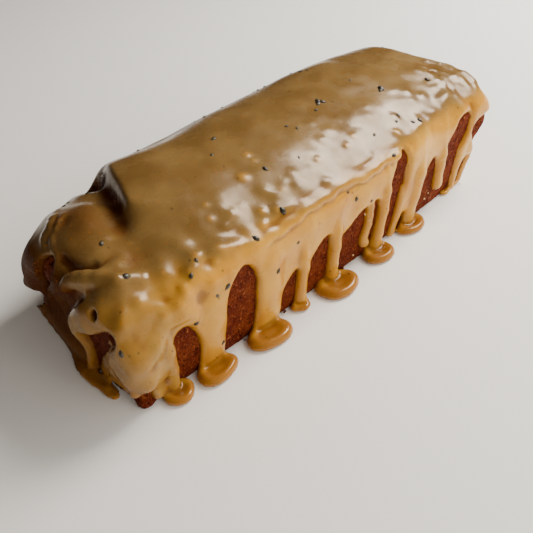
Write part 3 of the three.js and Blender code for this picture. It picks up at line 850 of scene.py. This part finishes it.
# %% [markdown]
# ## The icing as a shell
#
# The icing is a real shell: its inner wall lies just inside the sponge's skin, so that no gap
# shows at its edges, and the floor cuts it off flat. The inner wall is never seen. It is
# thinned with Decimate, which a vertex group keeps away from the outer surface.

# %% Make the icing
SUNK_IN = 1.2                                        # how deep the inner wall lies in the loaf
INNER_SHARE = 0.1                                    # the share of its faces that are kept


def blurred(volume, share=0.2):
    """Evens a volume out by mixing each point with its neighbours along every axis."""
    for axis in range(3):
        rows = np.moveaxis(volume, axis, 0)
        mixed = rows.copy()
        mixed[1:-1] = (1 - 2 * share) * rows[1:-1] + share * (rows[2:] + rows[:-2])
        volume = np.moveaxis(mixed, 0, axis)
    return volume


shell = np.maximum(blurred(icing_distance), -(loaf_distance + SUNK_IN))
shell = np.maximum(shell, -grid.z)
vertices, faces = surface_net(shell, grid)
vertices = relax(vertices, faces, 2)
vertices[:, 2] = np.maximum(vertices[:, 2], 0)
icing = new_piece("poured_icing", vertices, faces)
print("icing net", len(vertices), "vertices", len(faces), "faces")
depth = grid.sample(loaf_distance, vertices)
inner = np.flatnonzero((depth < -0.5) & (vertices[:, 2] > 0.5))
icing = thinned(icing, inner, INNER_SHARE)
print("after thinning", triangles(icing), "triangles")

# %% [markdown]
# ## Sums that write nodes
#
# Node trees for finishes and for geometry soon hold dozens of nodes. Clicking them together
# is quick for a few; in a script, sums are easier to read. A Socket stands for one output in
# a tree. Adding or multiplying sockets adds the Math nodes that do it, so that a finish can
# be written down like a formula. Every other node comes from the one method add().

# %% Write sums as nodes
def operation(name, swapped=False):
    """A method that adds the Math node for one of Python's signs."""
    def method(self, other):
        pair = (other, self) if swapped else (self, other)
        return self.graph.add("ShaderNodeMath", {"operation": name}, pair)
    return method


class Socket:
    """An output of a node, which sums can be written with."""

    def __init__(self, graph, socket):
        self.graph, self.socket = graph, socket

    __add__ = __radd__ = operation("ADD")
    __mul__ = __rmul__ = operation("MULTIPLY")
    __sub__, __rsub__ = operation("SUBTRACT"), operation("SUBTRACT", swapped=True)
    __truediv__, __rtruediv__ = operation("DIVIDE"), operation("DIVIDE", swapped=True)

    def output(self, name):
        """Another output of the same node."""
        return Socket(self.graph, self.socket.node.outputs[name])


class Graph:
    """A node tree under construction, for a finish or for geometry."""

    def __init__(self, tree):
        self.tree = tree
        tree.nodes.clear()

    def add(self, kind, settings=None, sockets=(), output=0):
        """Adds a node: first its settings, then the values or links of its sockets."""
        node = self.tree.nodes.new(kind)
        for name, value in (settings or {}).items():
            setattr(node, name, value)
        named = sockets.items() if isinstance(sockets, dict) else enumerate(sockets)
        for name, value in named:
            if isinstance(value, Socket):
                self.tree.links.new(value.socket, node.inputs[name])
            else:
                node.inputs[name].default_value = value
        return Socket(self, node.outputs[output]) if len(node.outputs) else None

    def smooth(self, value, start, end, low=0.0, high=1.0):
        """Rises smoothly from low to high as a value goes from start to end."""
        return self.add("ShaderNodeMapRange", {"interpolation_type": "SMOOTHSTEP"},
                        (value, start, end, low, high))

    def noise(self, place, size, detail=2.0, roughness=0.5):
        """Soft random values from 0 to 1, whose swells are about size across."""
        return self.add("ShaderNodeTexNoise", {}, {
            "Vector": place, "Scale": 1 / size, "Detail": detail, "Roughness": roughness})

    def cells(self, place, size):
        """How far it is to the nearest of many scattered points, in cells."""
        return self.add("ShaderNodeTexVoronoi", {}, {"Vector": place, "Scale": 1 / size})

    def dots(self, place, size, edge, chance):
        """Dots in some cells: the distances at which they start and are full, and how rare."""
        cells = self.cells(place, size)
        chosen = self.add("ShaderNodeSeparateColor", {}, {0: cells.output("Color")})
        return self.smooth(cells, *edge) * self.smooth(chosen, *chance)

    def blend(self, share, a, b):
        """Mixes two colours."""
        return self.add("ShaderNodeMix", {"data_type": "RGBA"}, {0: share, 6: a, 7: b}, 2)

    def stretched(self, place, scale):
        """A place multiplied along each axis by a number of its own."""
        return self.add("ShaderNodeVectorMath", {"operation": "MULTIPLY"}, (place, scale))

    def place_in_mm(self):
        """Where a point of the piece lies, in millimetres."""
        return self.stretched(self.add("ShaderNodeTexCoord", output="Object"), (1 / MM,) * 3)

    def attribute(self, name):
        """A number that the mesh carries."""
        return self.add("ShaderNodeAttribute", {"attribute_name": name}, output="Fac")

    def bump(self, height, strength, distance):
        """Shading as if the surface rose by up to a distance in millimetres."""
        return self.add("ShaderNodeBump", {}, {
            "Strength": strength, "Distance": distance * MM, "Height": height})

    def surface(self, shader):
        """Makes a shader what the material shows."""
        self.add("ShaderNodeOutputMaterial", {}, {"Surface": shader})


def colour(red, green, blue):
    """A colour written as it is seen on a screen, from 0 to 255, as light."""
    seen = np.array((red, green, blue)) / 255
    light = np.where(seen < 0.04045, seen / 12.92, ((seen + 0.055) / 1.055) ** 2.4)
    return (*light.tolist(), 1.0)


def finish(name):
    """A new material and the graph of its nodes."""
    material = bpy.data.materials.new(name)
    material.use_nodes = True
    return material, Graph(material.node_tree)


print("a middle tan is", [round(v, 2) for v in colour(122, 94, 51)[:3]], "as light")

# %% [markdown]
# ## The icing's finish
#
# Set halva icing is a smooth, slightly see-through paste. It is a dull tan on top and golden
# down the walls, partly its own tone and partly painted light: the lit walls are painted
# lighter, and the shaded sunken end darker. It turns to amber where it ran thin or gathered in
# puddles. Fine dark specks of ground coffee, a few orange flecks of caramel and pale bits of
# halva lie in it. The bits' light gold is partly a painted glint, and its creases are painted
# browner as shade. Light goes a few millimetres into it, so it gets subsurface scattering, and
# its skin is glossy with soft dull patches. Where it soaked into the step it is a deep red
# brown under a thin gloss, which is a second shader mixed in. The same deep red brown is also
# painted shade in the sunken end's creases, notch and pits, on its knoll and along the back
# edge of the top, and a darker amber on the front left shoulder is painted shade of its dents.
# What depends on the shape comes from attributes that the mesh carries.

# %% Mix the icing's finish
# The top's dull tan against the walls' gold is partly the icing's own tone and partly painted light:
# the lit walls are painted lighter.
DULL_TAN, PALE_TAN = colour(107, 79, 39), colour(122, 94, 51)
GOLD, PALE_GOLD, HONEY = colour(183, 127, 34), colour(193, 141, 44), colour(156, 96, 30)
AMBER, COFFEE, CARAMEL = colour(146, 96, 36), colour(40, 34, 26), colour(160, 84, 12)
# The bits' light gold below is partly pale halva and partly a painted glint.
# The crease brown below is painted shade in the icing's creases.
BIT_GLINT_GOLD, CREASE_SHADE_BROWN = colour(184, 132, 56), colour(104, 58, 18)
# The deep red brown below is partly soaked icing and partly painted shade: in the sunken end's
# creases, notch and pits, on its knoll and along the top's back edge.
SOAK_AND_SHADE_BROWN, SOAK_AND_SHADE_GLOSS, SOAK_AND_SHADE_ROUGHNESS = colour(64, 19, 1), 0.10, 0.16
ICING_SCATTER, ICING_REACH, ICING_RADIUS = 0.30, 2.4, (1.0, 0.55, 0.22)
ICING_COAT, ICING_COAT_ROUGHNESS = 0.06, 0.10
SHEEN_TINT = (1.0, 0.82, 0.62)


def icing_finish():
    """Tan, gold and amber in turn, then creases, soaked places, bits, flecks and specks."""
    material, graph = finish("halva icing")
    place = graph.place_in_mm()
    cloud, grain = graph.noise(place, 24, 2), graph.noise(place, 1.6, 2)
    amber, lit_golden = graph.attribute("amber"), graph.attribute("lit_golden")
    soak_and_shade = graph.attribute("soak_and_shade")
    light = graph.smooth(cloud, 0.35, 0.7)
    # Gold on the walls is partly their own tone and partly painted light. Where the sunken end turns
    # back to tan, that is painted shade.
    base = graph.blend(lit_golden, graph.blend(light, DULL_TAN, PALE_TAN),
                       graph.blend(light, GOLD, PALE_GOLD))
    streak = graph.noise(graph.stretched(place, (1.0, 1.0, 0.22)), 7, 3)
    base = graph.blend(graph.smooth(streak, 0.52, 0.74, 0.0, 0.5) * lit_golden, base, HONEY)
    base = graph.blend(graph.smooth(amber + 0.25 * cloud - 0.12, 0.1, 1.0), base, AMBER)
    # Painted shade: the icing is darkened brown in its creases.
    base = graph.blend(0.65 * graph.attribute("crease_shade"), base, CREASE_SHADE_BROWN)
    # A deep red brown, partly soaked icing and partly painted shade.
    base = graph.blend(soak_and_shade * graph.smooth(grain, 0.2, 0.7, 0.8, 1.0), base, SOAK_AND_SHADE_BROWN)
    # Light gold at the halva bits: partly the pale halva, partly a painted glint.
    base = graph.blend(0.7 * graph.attribute("bit_glint"), base, BIT_GLINT_GOLD)
    fleck = graph.dots(place, 4.2, (0.16, 0.07), (0.62, 0.66))
    base = graph.blend(0.75 * fleck, base, CARAMEL)
    dot = graph.dots(graph.stretched(place, (1.0, 1.0, 0.8)), 2.1, (0.17, 0.09), (0.55, 0.6))
    base = graph.blend(0.6 * dot, base, COFFEE)
    speck = graph.dots(place, 6.5, (0.13, 0.07), (0.5, 0.54))
    base = graph.blend(0.65 * speck, base, COFFEE)
    rough = graph.smooth(graph.noise(place, 15, 2), 0.25, 0.78, 0.15, 0.38) - 0.06 * amber
    bump = graph.bump(0.5 * graph.noise(place, 5, 2) + 0.2 * grain + 0.2 * dot, 0.25, 0.5)
    shared_inputs = {"Base Color": base, "Roughness": rough, "Normal": bump}
    glossy = graph.add("ShaderNodeBsdfPrincipled", {}, {
        **shared_inputs, "Subsurface Weight": ICING_SCATTER, "Subsurface Radius": ICING_RADIUS,
        "Subsurface Scale": ICING_REACH * MM, "Coat Weight": ICING_COAT,
        "Coat Roughness": ICING_COAT_ROUGHNESS, "Specular Tint": (*SHEEN_TINT, 1)})
    # The duller shader for the same places, soaked or painted as shade.
    soaked_and_shaded = graph.add("ShaderNodeBsdfPrincipled", {}, {
        **shared_inputs, "Specular IOR Level": 0.0, "Coat Weight": SOAK_AND_SHADE_GLOSS,
        "Coat Roughness": SOAK_AND_SHADE_ROUGHNESS})
    graph.surface(graph.add("ShaderNodeMixShader", {}, {
        0: graph.smooth(soak_and_shade, 0.1, 0.8), 1: glossy, 2: soaked_and_shaded}))
    return material


icing_material = icing_finish()
print("the icing's finish has", len(icing_material.node_tree.nodes), "nodes")

# %% [markdown]
# ## What the shape tells the finish
#
# Where the icing is amber, golden or soaked, and where it carries painted light and shade,
# follows from where it lies and how thick it is.
# That could be painted by hand, but here it is known already: the same distances that made
# the shape are read again at each vertex, and the mesh carries them as attributes.

# %% Write the icing's attributes
SOAK_AND_SHADE_PLACES = [                                           # where the icing soaked in, or is painted dark as shade: middle, radii, share
    (-94, 37, 75, 4, 13, 8, 1.3), (-101, 19, 77, 3.5, 12, 7, 1.2), (-107, 3, 78, 3, 9, 6, 1.0),
    (-113, -9, 78, 4, 5, 4, 0.5), (-95, 55, 66, 6, 9, 10, 1.3), (-128, 8, 82, 20, 22, 16, 0.6),
    (-150, -12, 73, 6, 12, 4, 0.9), (-156, -43.5, 62.5, 3.4, 3.4, 3.4, 0.95),
    (-159, -34, 63, 6, 9, 8, 0.6), (101, -56, 74, 3, 3, 3, 0.35), (149, -64, 63, 4, 4, 5, 0.45),
    (-156, -49, 47, 4, 5, 4, 0.8), (-158, -27, 64, 5, 5, 5, 0.6),
]
EDGE_REACH = 20                                      # how far from a bare place still counts


def creases(volume, points, rounds=10):
    """How deep points lie in a crease: an evened-out surface lies above them there."""
    soft = volume
    for _ in range(rounds):
        soft = blurred(soft)
    return ramp(grid.sample(volume - soft, points), 0.05, 0.6)


places = vertex_places(icing)
outside = grid.sample(loaf_distance, places)
near_edge = grid.sample(np.where(np.abs(covered) < EDGE_REACH, covered, EDGE_REACH), places)
height = places[:, 2]
amber = ramp(outside, 3.5, 9) * ramp(-height, -18, -3)
amber = np.maximum(amber, 0.5 * ramp(-near_edge, -3.5, 0) * ramp(-height, -70, -40))
amber = np.maximum(amber, 0.75 * ramp(-places[:, 0], 140, 152) * ramp(-height, -40, -4))
# A darker amber on the front left shoulder is painted shade of its many dents.
front_left_shade = ramp(-places[:, 0], 62, 84) * ramp(places[:, 0], -142, -118) * ramp(-height, -73, -60)
amber = np.maximum(amber, 0.34 * front_left_shade)
set_attribute(icing, "amber", amber)
# The walls are painted gold where light falls on them. The sunken end gets less gold, as painted
# shade.
lit_golden = ramp(-height, -74, -64) * (1 - 0.7 * ramp(-places[:, 0], 112, 140))
set_attribute(icing, "lit_golden", lit_golden)
beside_pour = grid.sample(np.broadcast_to(pour_depth, loaf_distance.shape), places)
# Painted dark red brown. At the sunken end this is partly soaked icing and partly painted shade.
# Along the top's back edge it is painted shade alone.
soak_and_shade = 0.95 * ramp(-places[:, 0], 134, 148) * ramp(-beside_pour, -1.5, 1)
soak_and_shade = soak_and_shade * ramp(-height, -78, -64) * (1 - 0.35 * ramp(-height, -22, -6))
soak_and_shade = soak_and_shade * ramp(places[:, 1], -28, -22)
soak_and_shade = np.maximum(soak_and_shade, 0.42 * ramp(places[:, 1], 30, 50) * ramp(height, 60, 74))
soak_and_shade = np.clip(np.maximum(soak_and_shade, swelling(SOAK_AND_SHADE_PLACES, *places.T)), 0, 1)
set_attribute(icing, "soak_and_shade", soak_and_shade)
# How deep each vertex lies in a crease, for the painted shade there.
set_attribute(icing, "crease_shade", creases(icing_distance, places))
# Where the bits lie, for their light gold and painted glint.
set_attribute(icing, "bit_glint", np.clip(swelling(bits, *places.T) / BIT_RISE, 0, 1))
icing.data.materials.clear()
icing.data.materials.append(icing_material)
into_frame(icing)
print("icing", triangles(icing), "triangles, mean amber", round(float(amber.mean()), 2))

# %% [markdown]
# ## The sponge
#
# The sponge shows only in the bare places, but there it is the most lively surface of the
# cake: a red-brown crumb full of small pores, painted dark as shade, with a few orange glints
# where the sugar browned. A bump in the finish would look flat at the edges, so the pores are
# real: a fine net of the loaf's skin is pushed in by a Geometry Nodes tree, which also keeps
# how deep each point lies as an attribute, so that the finish can paint shade into the pores.
# What the icing hides is thinned away.

# %% Mix the sponge's finish
CRUMB_RED, CRUMB_BROWN, CRUMB_LIGHT = colour(76, 24, 10), colour(96, 40, 16), colour(176, 100, 50)
# The pores' near black is painted shade.
PORE_SHADE, CRUMB_SHINE = colour(16, 3, 2), 0.12
CRUMB_SCATTER, CRUMB_REACH, CRUMB_RADIUS = 0.15, 1.5, (1.0, 0.3, 0.15)


def sponge_finish(name, light_share=1.0):
    """A red-brown crumb with lighter grains, and painted shade in its pores."""
    material, graph = finish(name)
    place = graph.place_in_mm()
    drawn = graph.stretched(place, (1.0, 1.0, 0.6))
    crumb = graph.noise(drawn, 1.3, 3, 0.65)
    base = graph.blend(graph.smooth(graph.noise(place, 7, 3), 0.35, 0.68), CRUMB_RED, CRUMB_BROWN)
    base = graph.blend(graph.smooth(crumb, 0.56, 0.78, 0.0, 0.7 * light_share), base, CRUMB_LIGHT)
    # Painted shade in the pores: open pores and a fine net of dots are darkened.
    fine_pore = graph.smooth(graph.cells(drawn, 1.5), 0.36, 0.12) * 0.6
    pore_shade = graph.smooth(graph.attribute("pore") + fine_pore, 0.1, 0.8)
    graph.surface(graph.add("ShaderNodeBsdfPrincipled", {}, {
        "Base Color": graph.blend(pore_shade, base, PORE_SHADE),
        "Roughness": graph.smooth(crumb, 0.4, 0.8, 0.9, 0.5),
        "Normal": graph.bump(crumb - 0.8 * fine_pore, 0.8, 0.7),
        "Subsurface Weight": CRUMB_SCATTER, "Subsurface Radius": CRUMB_RADIUS,
        "Subsurface Scale": CRUMB_REACH * MM, "Specular IOR Level": CRUMB_SHINE}))
    return material


sponge_material = sponge_finish("chocolate sponge")
print("the sponge's finish has", len(sponge_material.node_tree.nodes), "nodes")

# %% Write the tree that opens the crumb
def geometry_tree(name, inputs):
    """A new geometry tree with named inputs, its graph and a way to reach those inputs."""
    tree = bpy.data.node_groups.new(name, "GeometryNodeTree")
    tree.interface.new_socket("Geometry", in_out="INPUT", socket_type="NodeSocketGeometry")
    tree.interface.new_socket("Geometry", in_out="OUTPUT", socket_type="NodeSocketGeometry")
    for label, (kind, value) in inputs.items():
        socket = tree.interface.new_socket(label, in_out="INPUT", socket_type=kind)
        if value is not None:
            socket.default_value = value
    graph = Graph(tree)
    return tree, graph, graph.add("NodeGroupInput")


def end_tree(graph, geometry, material):
    """Makes copies real, gives them their finish and closes the tree."""
    whole = graph.add("GeometryNodeRealizeInstances", {}, {0: geometry})
    painted = graph.add("GeometryNodeSetMaterial", {}, {"Geometry": whole, "Material": material})
    graph.add("NodeGroupOutput", {}, {0: painted})


def run_tree(piece, tree, values):
    """Puts a tree on a piece with its inputs set, and turns the result into a plain mesh."""
    modifier = piece.modifiers.new(tree.name, "NODES")
    modifier.node_group = tree
    keys = {item.name: item.identifier for item in tree.interface.items_tree
            if item.in_out == "INPUT"}
    for label, value in values.items():
        modifier[keys[label]] = value
    return applied(piece)


def crumb_tree():
    """Pushes a skin in at pores and out at swells, and keeps how open each pore is."""
    tree, graph, group = geometry_tree("open crumb", {
        "Pore Depth": ("NodeSocketFloat", 1.0), "Pore Size": ("NodeSocketFloat", 2.0),
        "Swell Height": ("NodeSocketFloat", 0.5), "Swell Size": ("NodeSocketFloat", 5.0),
        "Seed": ("NodeSocketFloat", 0.0), "Material": ("NodeSocketMaterial", None)})
    place = graph.add("GeometryNodeInputPosition")
    shift = graph.add("ShaderNodeCombineXYZ", {}, (group.output("Seed"),) * 3)
    place = graph.add("ShaderNodeVectorMath", {"operation": "ADD"}, (place, shift))
    bent = graph.noise(place, 3.0, 1)
    cells = graph.cells(graph.stretched(place, (1.0, 1.0, 0.72)), group.output("Pore Size"))
    open_here = graph.smooth(graph.noise(place, 4.0, 2), 0.42, 0.58, 0.25, 1.0)
    pore = graph.smooth(cells + 0.25 * bent, 0.52, 0.22) * open_here
    swell = graph.noise(place, group.output("Swell Size"), 3)
    push = (swell - 0.6) * group.output("Swell Height") - pore * group.output("Pore Depth")
    normal = graph.add("GeometryNodeInputNormal")
    offset = graph.add("ShaderNodeVectorMath", {"operation": "SCALE"}, {0: normal, "Scale": push})
    kept = graph.add("GeometryNodeStoreNamedAttribute", {"data_type": "FLOAT"}, {
        "Geometry": group.output("Geometry"), "Name": "pore", "Value": pore})
    moved = graph.add("GeometryNodeSetPosition", {}, {"Geometry": kept, "Offset": offset})
    end_tree(graph, moved, group.output("Material"))
    return tree


open_crumb = crumb_tree()
print("the crumb's tree has", len(open_crumb.nodes), "nodes")

# %% Make the sponge
SPONGE_STEP, HIDDEN_SHARE = 0.85, 0.04
sponge_grid = Grid(*(np.arange(low, high, SPONGE_STEP)
                     for low, high in ((-168, 176), (-76, 76), (-2.2, 95))))
sponge_distance = skin(sponge_grid.x, sponge_grid.y, sponge_grid.z)
sponge_distance = np.maximum(sponge_distance, -sponge_grid.z)
vertices, faces = surface_net(sponge_distance.astype(np.float32), sponge_grid)
vertices = relax(vertices, faces, 1)
vertices[:, 2] = np.maximum(vertices[:, 2], 0)
sponge = new_piece("sponge_loaf", vertices, faces)
print("sponge net", len(vertices), "vertices")
under = grid.sample(np.minimum(covered, EDGE_REACH), vertices)
hidden = np.flatnonzero((under > COAT) | (vertices[:, 2] < 0.1))
sponge = thinned(sponge, hidden, HIDDEN_SHARE)
sponge = run_tree(sponge, open_crumb, {
    "Pore Depth": 1.1, "Pore Size": 2.2, "Swell Height": 1.1, "Swell Size": 5.0, "Seed": 7.0,
    "Material": sponge_material})
low = vertex_places(sponge)
low[:, 2] = np.maximum(low[:, 2], 0)
sponge.data.vertices.foreach_set("co", low.ravel())
into_frame(sponge)
print("sponge", triangles(sponge), "triangles")

# %% [markdown]
# ## Seeds and crumbs
#
# Black sesame seeds lie scattered in the icing, most of them thinly coated, and a few pale
# crumbs of halva stick to the bare sponge and lie at its foot. Each is too small to model by
# hand more than once. One Geometry Nodes tree sets a copy of a small shape on every point of
# a list, turned flat on to the surface, then makes all of them one mesh.

# %% Write the tree that scatters
def scatter_tree(name, proportions, point, roughness):
    """Sets a small rounded shape on each point: half sizes, how pointed, how rough."""
    tree, graph, group = geometry_tree(name, {
        "Size": ("NodeSocketFloat", 1.0), "Seed": ("NodeSocketInt", 0),
        "Material": ("NodeSocketMaterial", None)})
    ball = graph.add("GeometryNodeMeshUVSphere", {}, {"Segments": 8, "Rings": 6, "Radius": 1.0})
    place = graph.add("GeometryNodeInputPosition")
    parts = graph.add("ShaderNodeSeparateXYZ", {}, {0: place})
    slim = 1 - point * graph.smooth(parts, -0.2, 1.0)
    width = graph.add("ShaderNodeCombineXYZ", {}, (1.0, slim, slim))
    shaped = graph.stretched(place, width)
    uneven = 1 + roughness * (graph.noise(place, 0.7, 1) - 0.5)
    shaped = graph.add("ShaderNodeVectorMath", {"operation": "SCALE"},
                       {0: shaped, "Scale": uneven})
    shaped = graph.stretched(shaped, proportions)
    shape = graph.add("GeometryNodeSetPosition", {}, {"Geometry": ball, "Position": shaped})
    shape = graph.add("GeometryNodeSetShadeSmooth", {}, {0: shape})
    facing = graph.add("GeometryNodeInputNamedAttribute", {"data_type": "FLOAT_VECTOR"},
                       {"Name": "facing"}, "Attribute")
    upright = graph.add("FunctionNodeAlignRotationToVector", {"axis": "Z"}, {"Vector": facing})
    seed = group.output("Seed")
    turn = graph.add("FunctionNodeRandomValue", {"data_type": "FLOAT"},
                     {"Min": 0.0, "Max": 6.283, "Seed": seed}, 1)
    spin = graph.add("FunctionNodeAxisAngleToRotation", {}, {"Axis": (0, 0, 1), "Angle": turn})
    turned = graph.add("FunctionNodeRotateRotation", {"rotation_space": "LOCAL"},
                       {0: upright, 1: spin})
    spread_size = graph.add("FunctionNodeRandomValue", {"data_type": "FLOAT"},
                            {"Min": 0.75, "Max": 1.25, "Seed": seed + 1}, 1)
    own = graph.add("GeometryNodeInputNamedAttribute", {"data_type": "FLOAT"},
                    {"Name": "size"}, "Attribute")
    copies = graph.add("GeometryNodeInstanceOnPoints", {}, {
        "Points": group.output("Geometry"), "Instance": shape, "Rotation": turned,
        "Scale": spread_size * own * group.output("Size")})
    end_tree(graph, copies, group.output("Material"))
    return tree


def scattered(name, points, out, sizes, tree, values):
    """One mesh of all the copies of a small shape, set on points and facing out."""
    piece = new_piece(name, points, np.empty((0, 4), int))
    facing = piece.data.attributes.new("facing", "FLOAT_VECTOR", "POINT")
    facing.data.foreach_set("vector", np.asarray(out, np.float32).ravel())
    set_attribute(piece, "size", sizes)
    piece = run_tree(piece, tree, values)
    into_frame(piece)
    print(name, len(points), "copies,", triangles(piece), "triangles")
    return piece


sesame_tree = scatter_tree("sesame", (1.75, 1.15, 0.75), 0.5, 0.1)
print("the tree that scatters has", len(sesame_tree.nodes), "nodes")

# %% Scatter the seeds
SEEDS = [                                            # x, y, z and how large
    (46, -9, 88, 1.1), (40, -13, 88, 1.1), (93, -24, 86, 1.6), (135, -33, 81, 1.3),
    (86, -3, 89, 1.1), (83, -47, 78, 1.3), (77, -50, 77, 1.1), (88, -55, 74, 1.3),
    (94, -57, 74, 1.1), (54, -50, 77, 1.1), (11, -14, 88, 1.1), (15, -19, 86, 1),
    (-32, 6, 90, 1.1), (-44, -6, 89, 1), (-28, -34, 83, 1.1), (-4, -38, 81, 1),
    (-41, -60, 72, 1.3), (-66, -64, 69, 1.4), (54, -66, 68, 1.1), (14, -69, 56, 1.4),
    (29, -69, 47, 1), (8, -68, 64, 1), (-38, -69, 52, 1.1), (-56, -70, 43, 1.3),
    (-111, -63, 70, 0.9), (-115, -67, 42, 1.4), (-93, -69, 54, 1.4), (-98, -66, 14, 1.3),
    (-100, -68, 52, 1.1), (-103, -58, 72, 0.8), (-132, -17, 79, 1.4), (-138, -46, 76, 1.3),
    (-158, -62, 49, 1.4), (49, -6, 89, 1.6), (47, -8, 89, 1.4), (51, -9, 89, 1.2),
    (95, -23, 86, 1.5),
]
BACK_SEEDS, FAR_SEEDS, SEED_PROUD = 46, 8, -0.1
random = np.random.default_rng(21)
loose = np.stack([random.uniform(-150, 170, BACK_SEEDS), random.uniform(60, 84, BACK_SEEDS),
                  random.uniform(45, 95, BACK_SEEDS)], axis=1)
far_ones = np.stack([np.full(FAR_SEEDS, 178.0), random.uniform(-50, 50, FAR_SEEDS),
                     random.uniform(40, 72, FAR_SEEDS)], axis=1)
seed_rows = np.array(SEEDS, float)
seed_points = settled(np.concatenate([seed_rows[:, :3], loose, far_ones]), SEED_PROUD,
                      icing_distance, 5)
seed_sizes = np.concatenate([seed_rows[:, 3], random.uniform(0.7, 1.1, BACK_SEEDS + FAR_SEEDS)])


def plain_finish(name, base, dark, size, roughness):
    """A finish of two colours in soft patches."""
    material, graph = finish(name)
    place = graph.place_in_mm()
    patch = graph.smooth(graph.noise(place, size, 2), 0.35, 0.65)
    graph.surface(graph.add("ShaderNodeBsdfPrincipled", {}, {
        "Base Color": graph.blend(patch, base, dark), "Roughness": roughness,
        "Normal": graph.bump(graph.noise(place, 0.4, 1), 0.3, 0.2)}))
    return material


seed_material = plain_finish("black sesame", colour(30, 28, 26), colour(74, 66, 52), 2.0, 0.3)
seeds = scattered("sesame_seeds", seed_points, directions(icing_distance, seed_points), seed_sizes,
                  sesame_tree, {"Size": 1.0, "Seed": 5, "Material": seed_material})

# %% Scatter the crumbs of halva
HALVA_CRUMBS = [                                     # x, y, z and how large
    (30, -68, 38, 1.5), (28.5, -68, 36, 1.2), (32, -68, 40, 1.0), (20, -63, 6, 0.7),
    (94, -64, 22, 0.7), (102, -63, 9, 0.9), (106, -62, 12, 0.6), (-28, -64, 24, 0.7),
    (-30, 63, 12, 1.0), (44, 64, 16, 0.9), (80, 64, 30, 0.8), (-124, 62, 10, 1.0),
]
halva_rows = np.array(HALVA_CRUMBS, float)
halva_points = settled(halva_rows[:, :3], 0.3, rounds=5)
halva_material = plain_finish("pale halva", colour(226, 192, 140), colour(198, 156, 100), 1.0, 0.6)
halva = scattered("halva_crumbs", halva_points, directions(loaf_distance, halva_points),
                  halva_rows[:, 3],
                  scatter_tree("crumb of halva", (1.1, 0.9, 0.8), 0.2, 1.3),
                  {"Size": 1.0, "Seed": 9, "Material": halva_material})

# %% Scatter the crumbs of sponge
LOOSE_CRUMBS, CRUMB_HEIGHT = 26, 0.6
around = random.uniform(0, 1, (LOOSE_CRUMBS, 3))
side = np.where(np.arange(LOOSE_CRUMBS) % 3 == 0, 1, -1)
sponge_crumb_points = np.stack([-140 + 290 * around[:, 0], side * (61.5 + 3 * around[:, 1]),
                                np.full(LOOSE_CRUMBS, CRUMB_HEIGHT)], axis=1)
free = grid.sample(icing_distance, sponge_crumb_points) > 0.6
sponge_crumb_points = sponge_crumb_points[free]
dark_crumbs = scattered("sponge_crumbs", sponge_crumb_points,
                        np.tile((0.0, 0.0, 1.0), (free.sum(), 1)), 0.5 + around[free, 2],
                        scatter_tree("crumb of sponge", (1, 0.8, 0.6), 0.1, 1.4),
                        {"Size": 1.0, "Seed": 3, "Material": sponge_finish("loose sponge", 0.6)})

# %% [markdown]
# ## The floor and the light
#
# The cake stands on a plain pale floor. It is lit by a large soft window high on the right,
# a little warmer than white, whose sheen lies on the top, and by the bright room in front of
# it. The dim light from everywhere else is warmer still, so that the shaded end turns brown
# and not grey. Only the window shows as a reflection: the other lights stand in for pale
# walls, which would be too dim to show.

# %% Lay the floor
FLOOR_SIZE, FLOOR_DROP = 6, 0.0005
bpy.ops.mesh.primitive_plane_add(size=FLOOR_SIZE, location=(0, 0, -FLOOR_DROP))
floor = bpy.context.object
floor.name = "floor"
floor_material, floor_graph = finish("pale floor")
floor_shader = floor_graph.add("ShaderNodeBsdfPrincipled", {}, {
    "Base Color": colour(242, 240, 237), "Roughness": 0.6})
floor_graph.surface(floor_shader)
floor.data.materials.append(floor_material)
print("the floor is", FLOOR_SIZE, "m wide")

# %% Set the lights
LIGHTS = {                  # direction, distance, size, power, tint, whether it shows in gloss
    "window": ((0.66, -0.09, 0.72), 1.15, 0.54, 18.8, (1.0, 0.95, 0.86), True),
    "window's foot": ((0.92, -0.15, 0.36), 1.0, 0.64, 7, (1.0, 0.99, 0.97), False),
    "bright room": ((0.45, -0.80, 0.38), 1.5, 1.4, 17, (1.0, 0.97, 0.89), False),
    "room in front": ((-0.25, -0.90, 0.36), 1.5, 1.4, 17, (1.0, 0.96, 0.87), False),
}
WORLD_COLOUR, WORLD_STRENGTH = (1.0, 0.82, 0.66, 1), 0.07


def area_light(name, direction, distance, size, power, tint, shows_in_gloss):
    """A square light that faces the origin from a direction."""
    data = bpy.data.lights.new(name, "AREA")
    data.size, data.energy, data.color = size, power, tint
    light = bpy.data.objects.new(name, data)
    way = Vector(direction).normalized()
    light.location = way * distance
    light.rotation_euler = way.to_track_quat("Z", "Y").to_euler()
    light.visible_glossy = shows_in_gloss
    bpy.context.scene.collection.objects.link(light)


for name, row in LIGHTS.items():
    area_light(name, *row)
world = bpy.data.worlds.new("room")
world.use_nodes = True
background = world.node_tree.nodes["Background"]
background.inputs["Color"].default_value = WORLD_COLOUR
background.inputs["Strength"].default_value = WORLD_STRENGTH
bpy.context.scene.world = world
print(len(LIGHTS), "lights with", round(sum(row[3] for row in LIGHTS.values()), 1), "W in all")

# %% [markdown]
# ## Fastening
#
# A cake has no moving parts, so every piece rides on the one body that the frame calls root.
# The fine sponge and icing take the place of the two imported solids. The seeds and the crumbs
# had no solid. Each piece is listed with a slot, icing or sponge, but the loop only sets its body.

# %% Fasten the pieces to the frame
for piece, slot in ((icing, "icing"), (sponge, "sponge"), (seeds, "icing"), (halva, "icing"),
                    (dark_crumbs, "sponge")):
    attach(piece, "root")
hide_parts("icing")
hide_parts("loaf")
print("triangles in all", sum(triangles(p) for p in (icing, sponge, seeds, halva, dark_crumbs)))
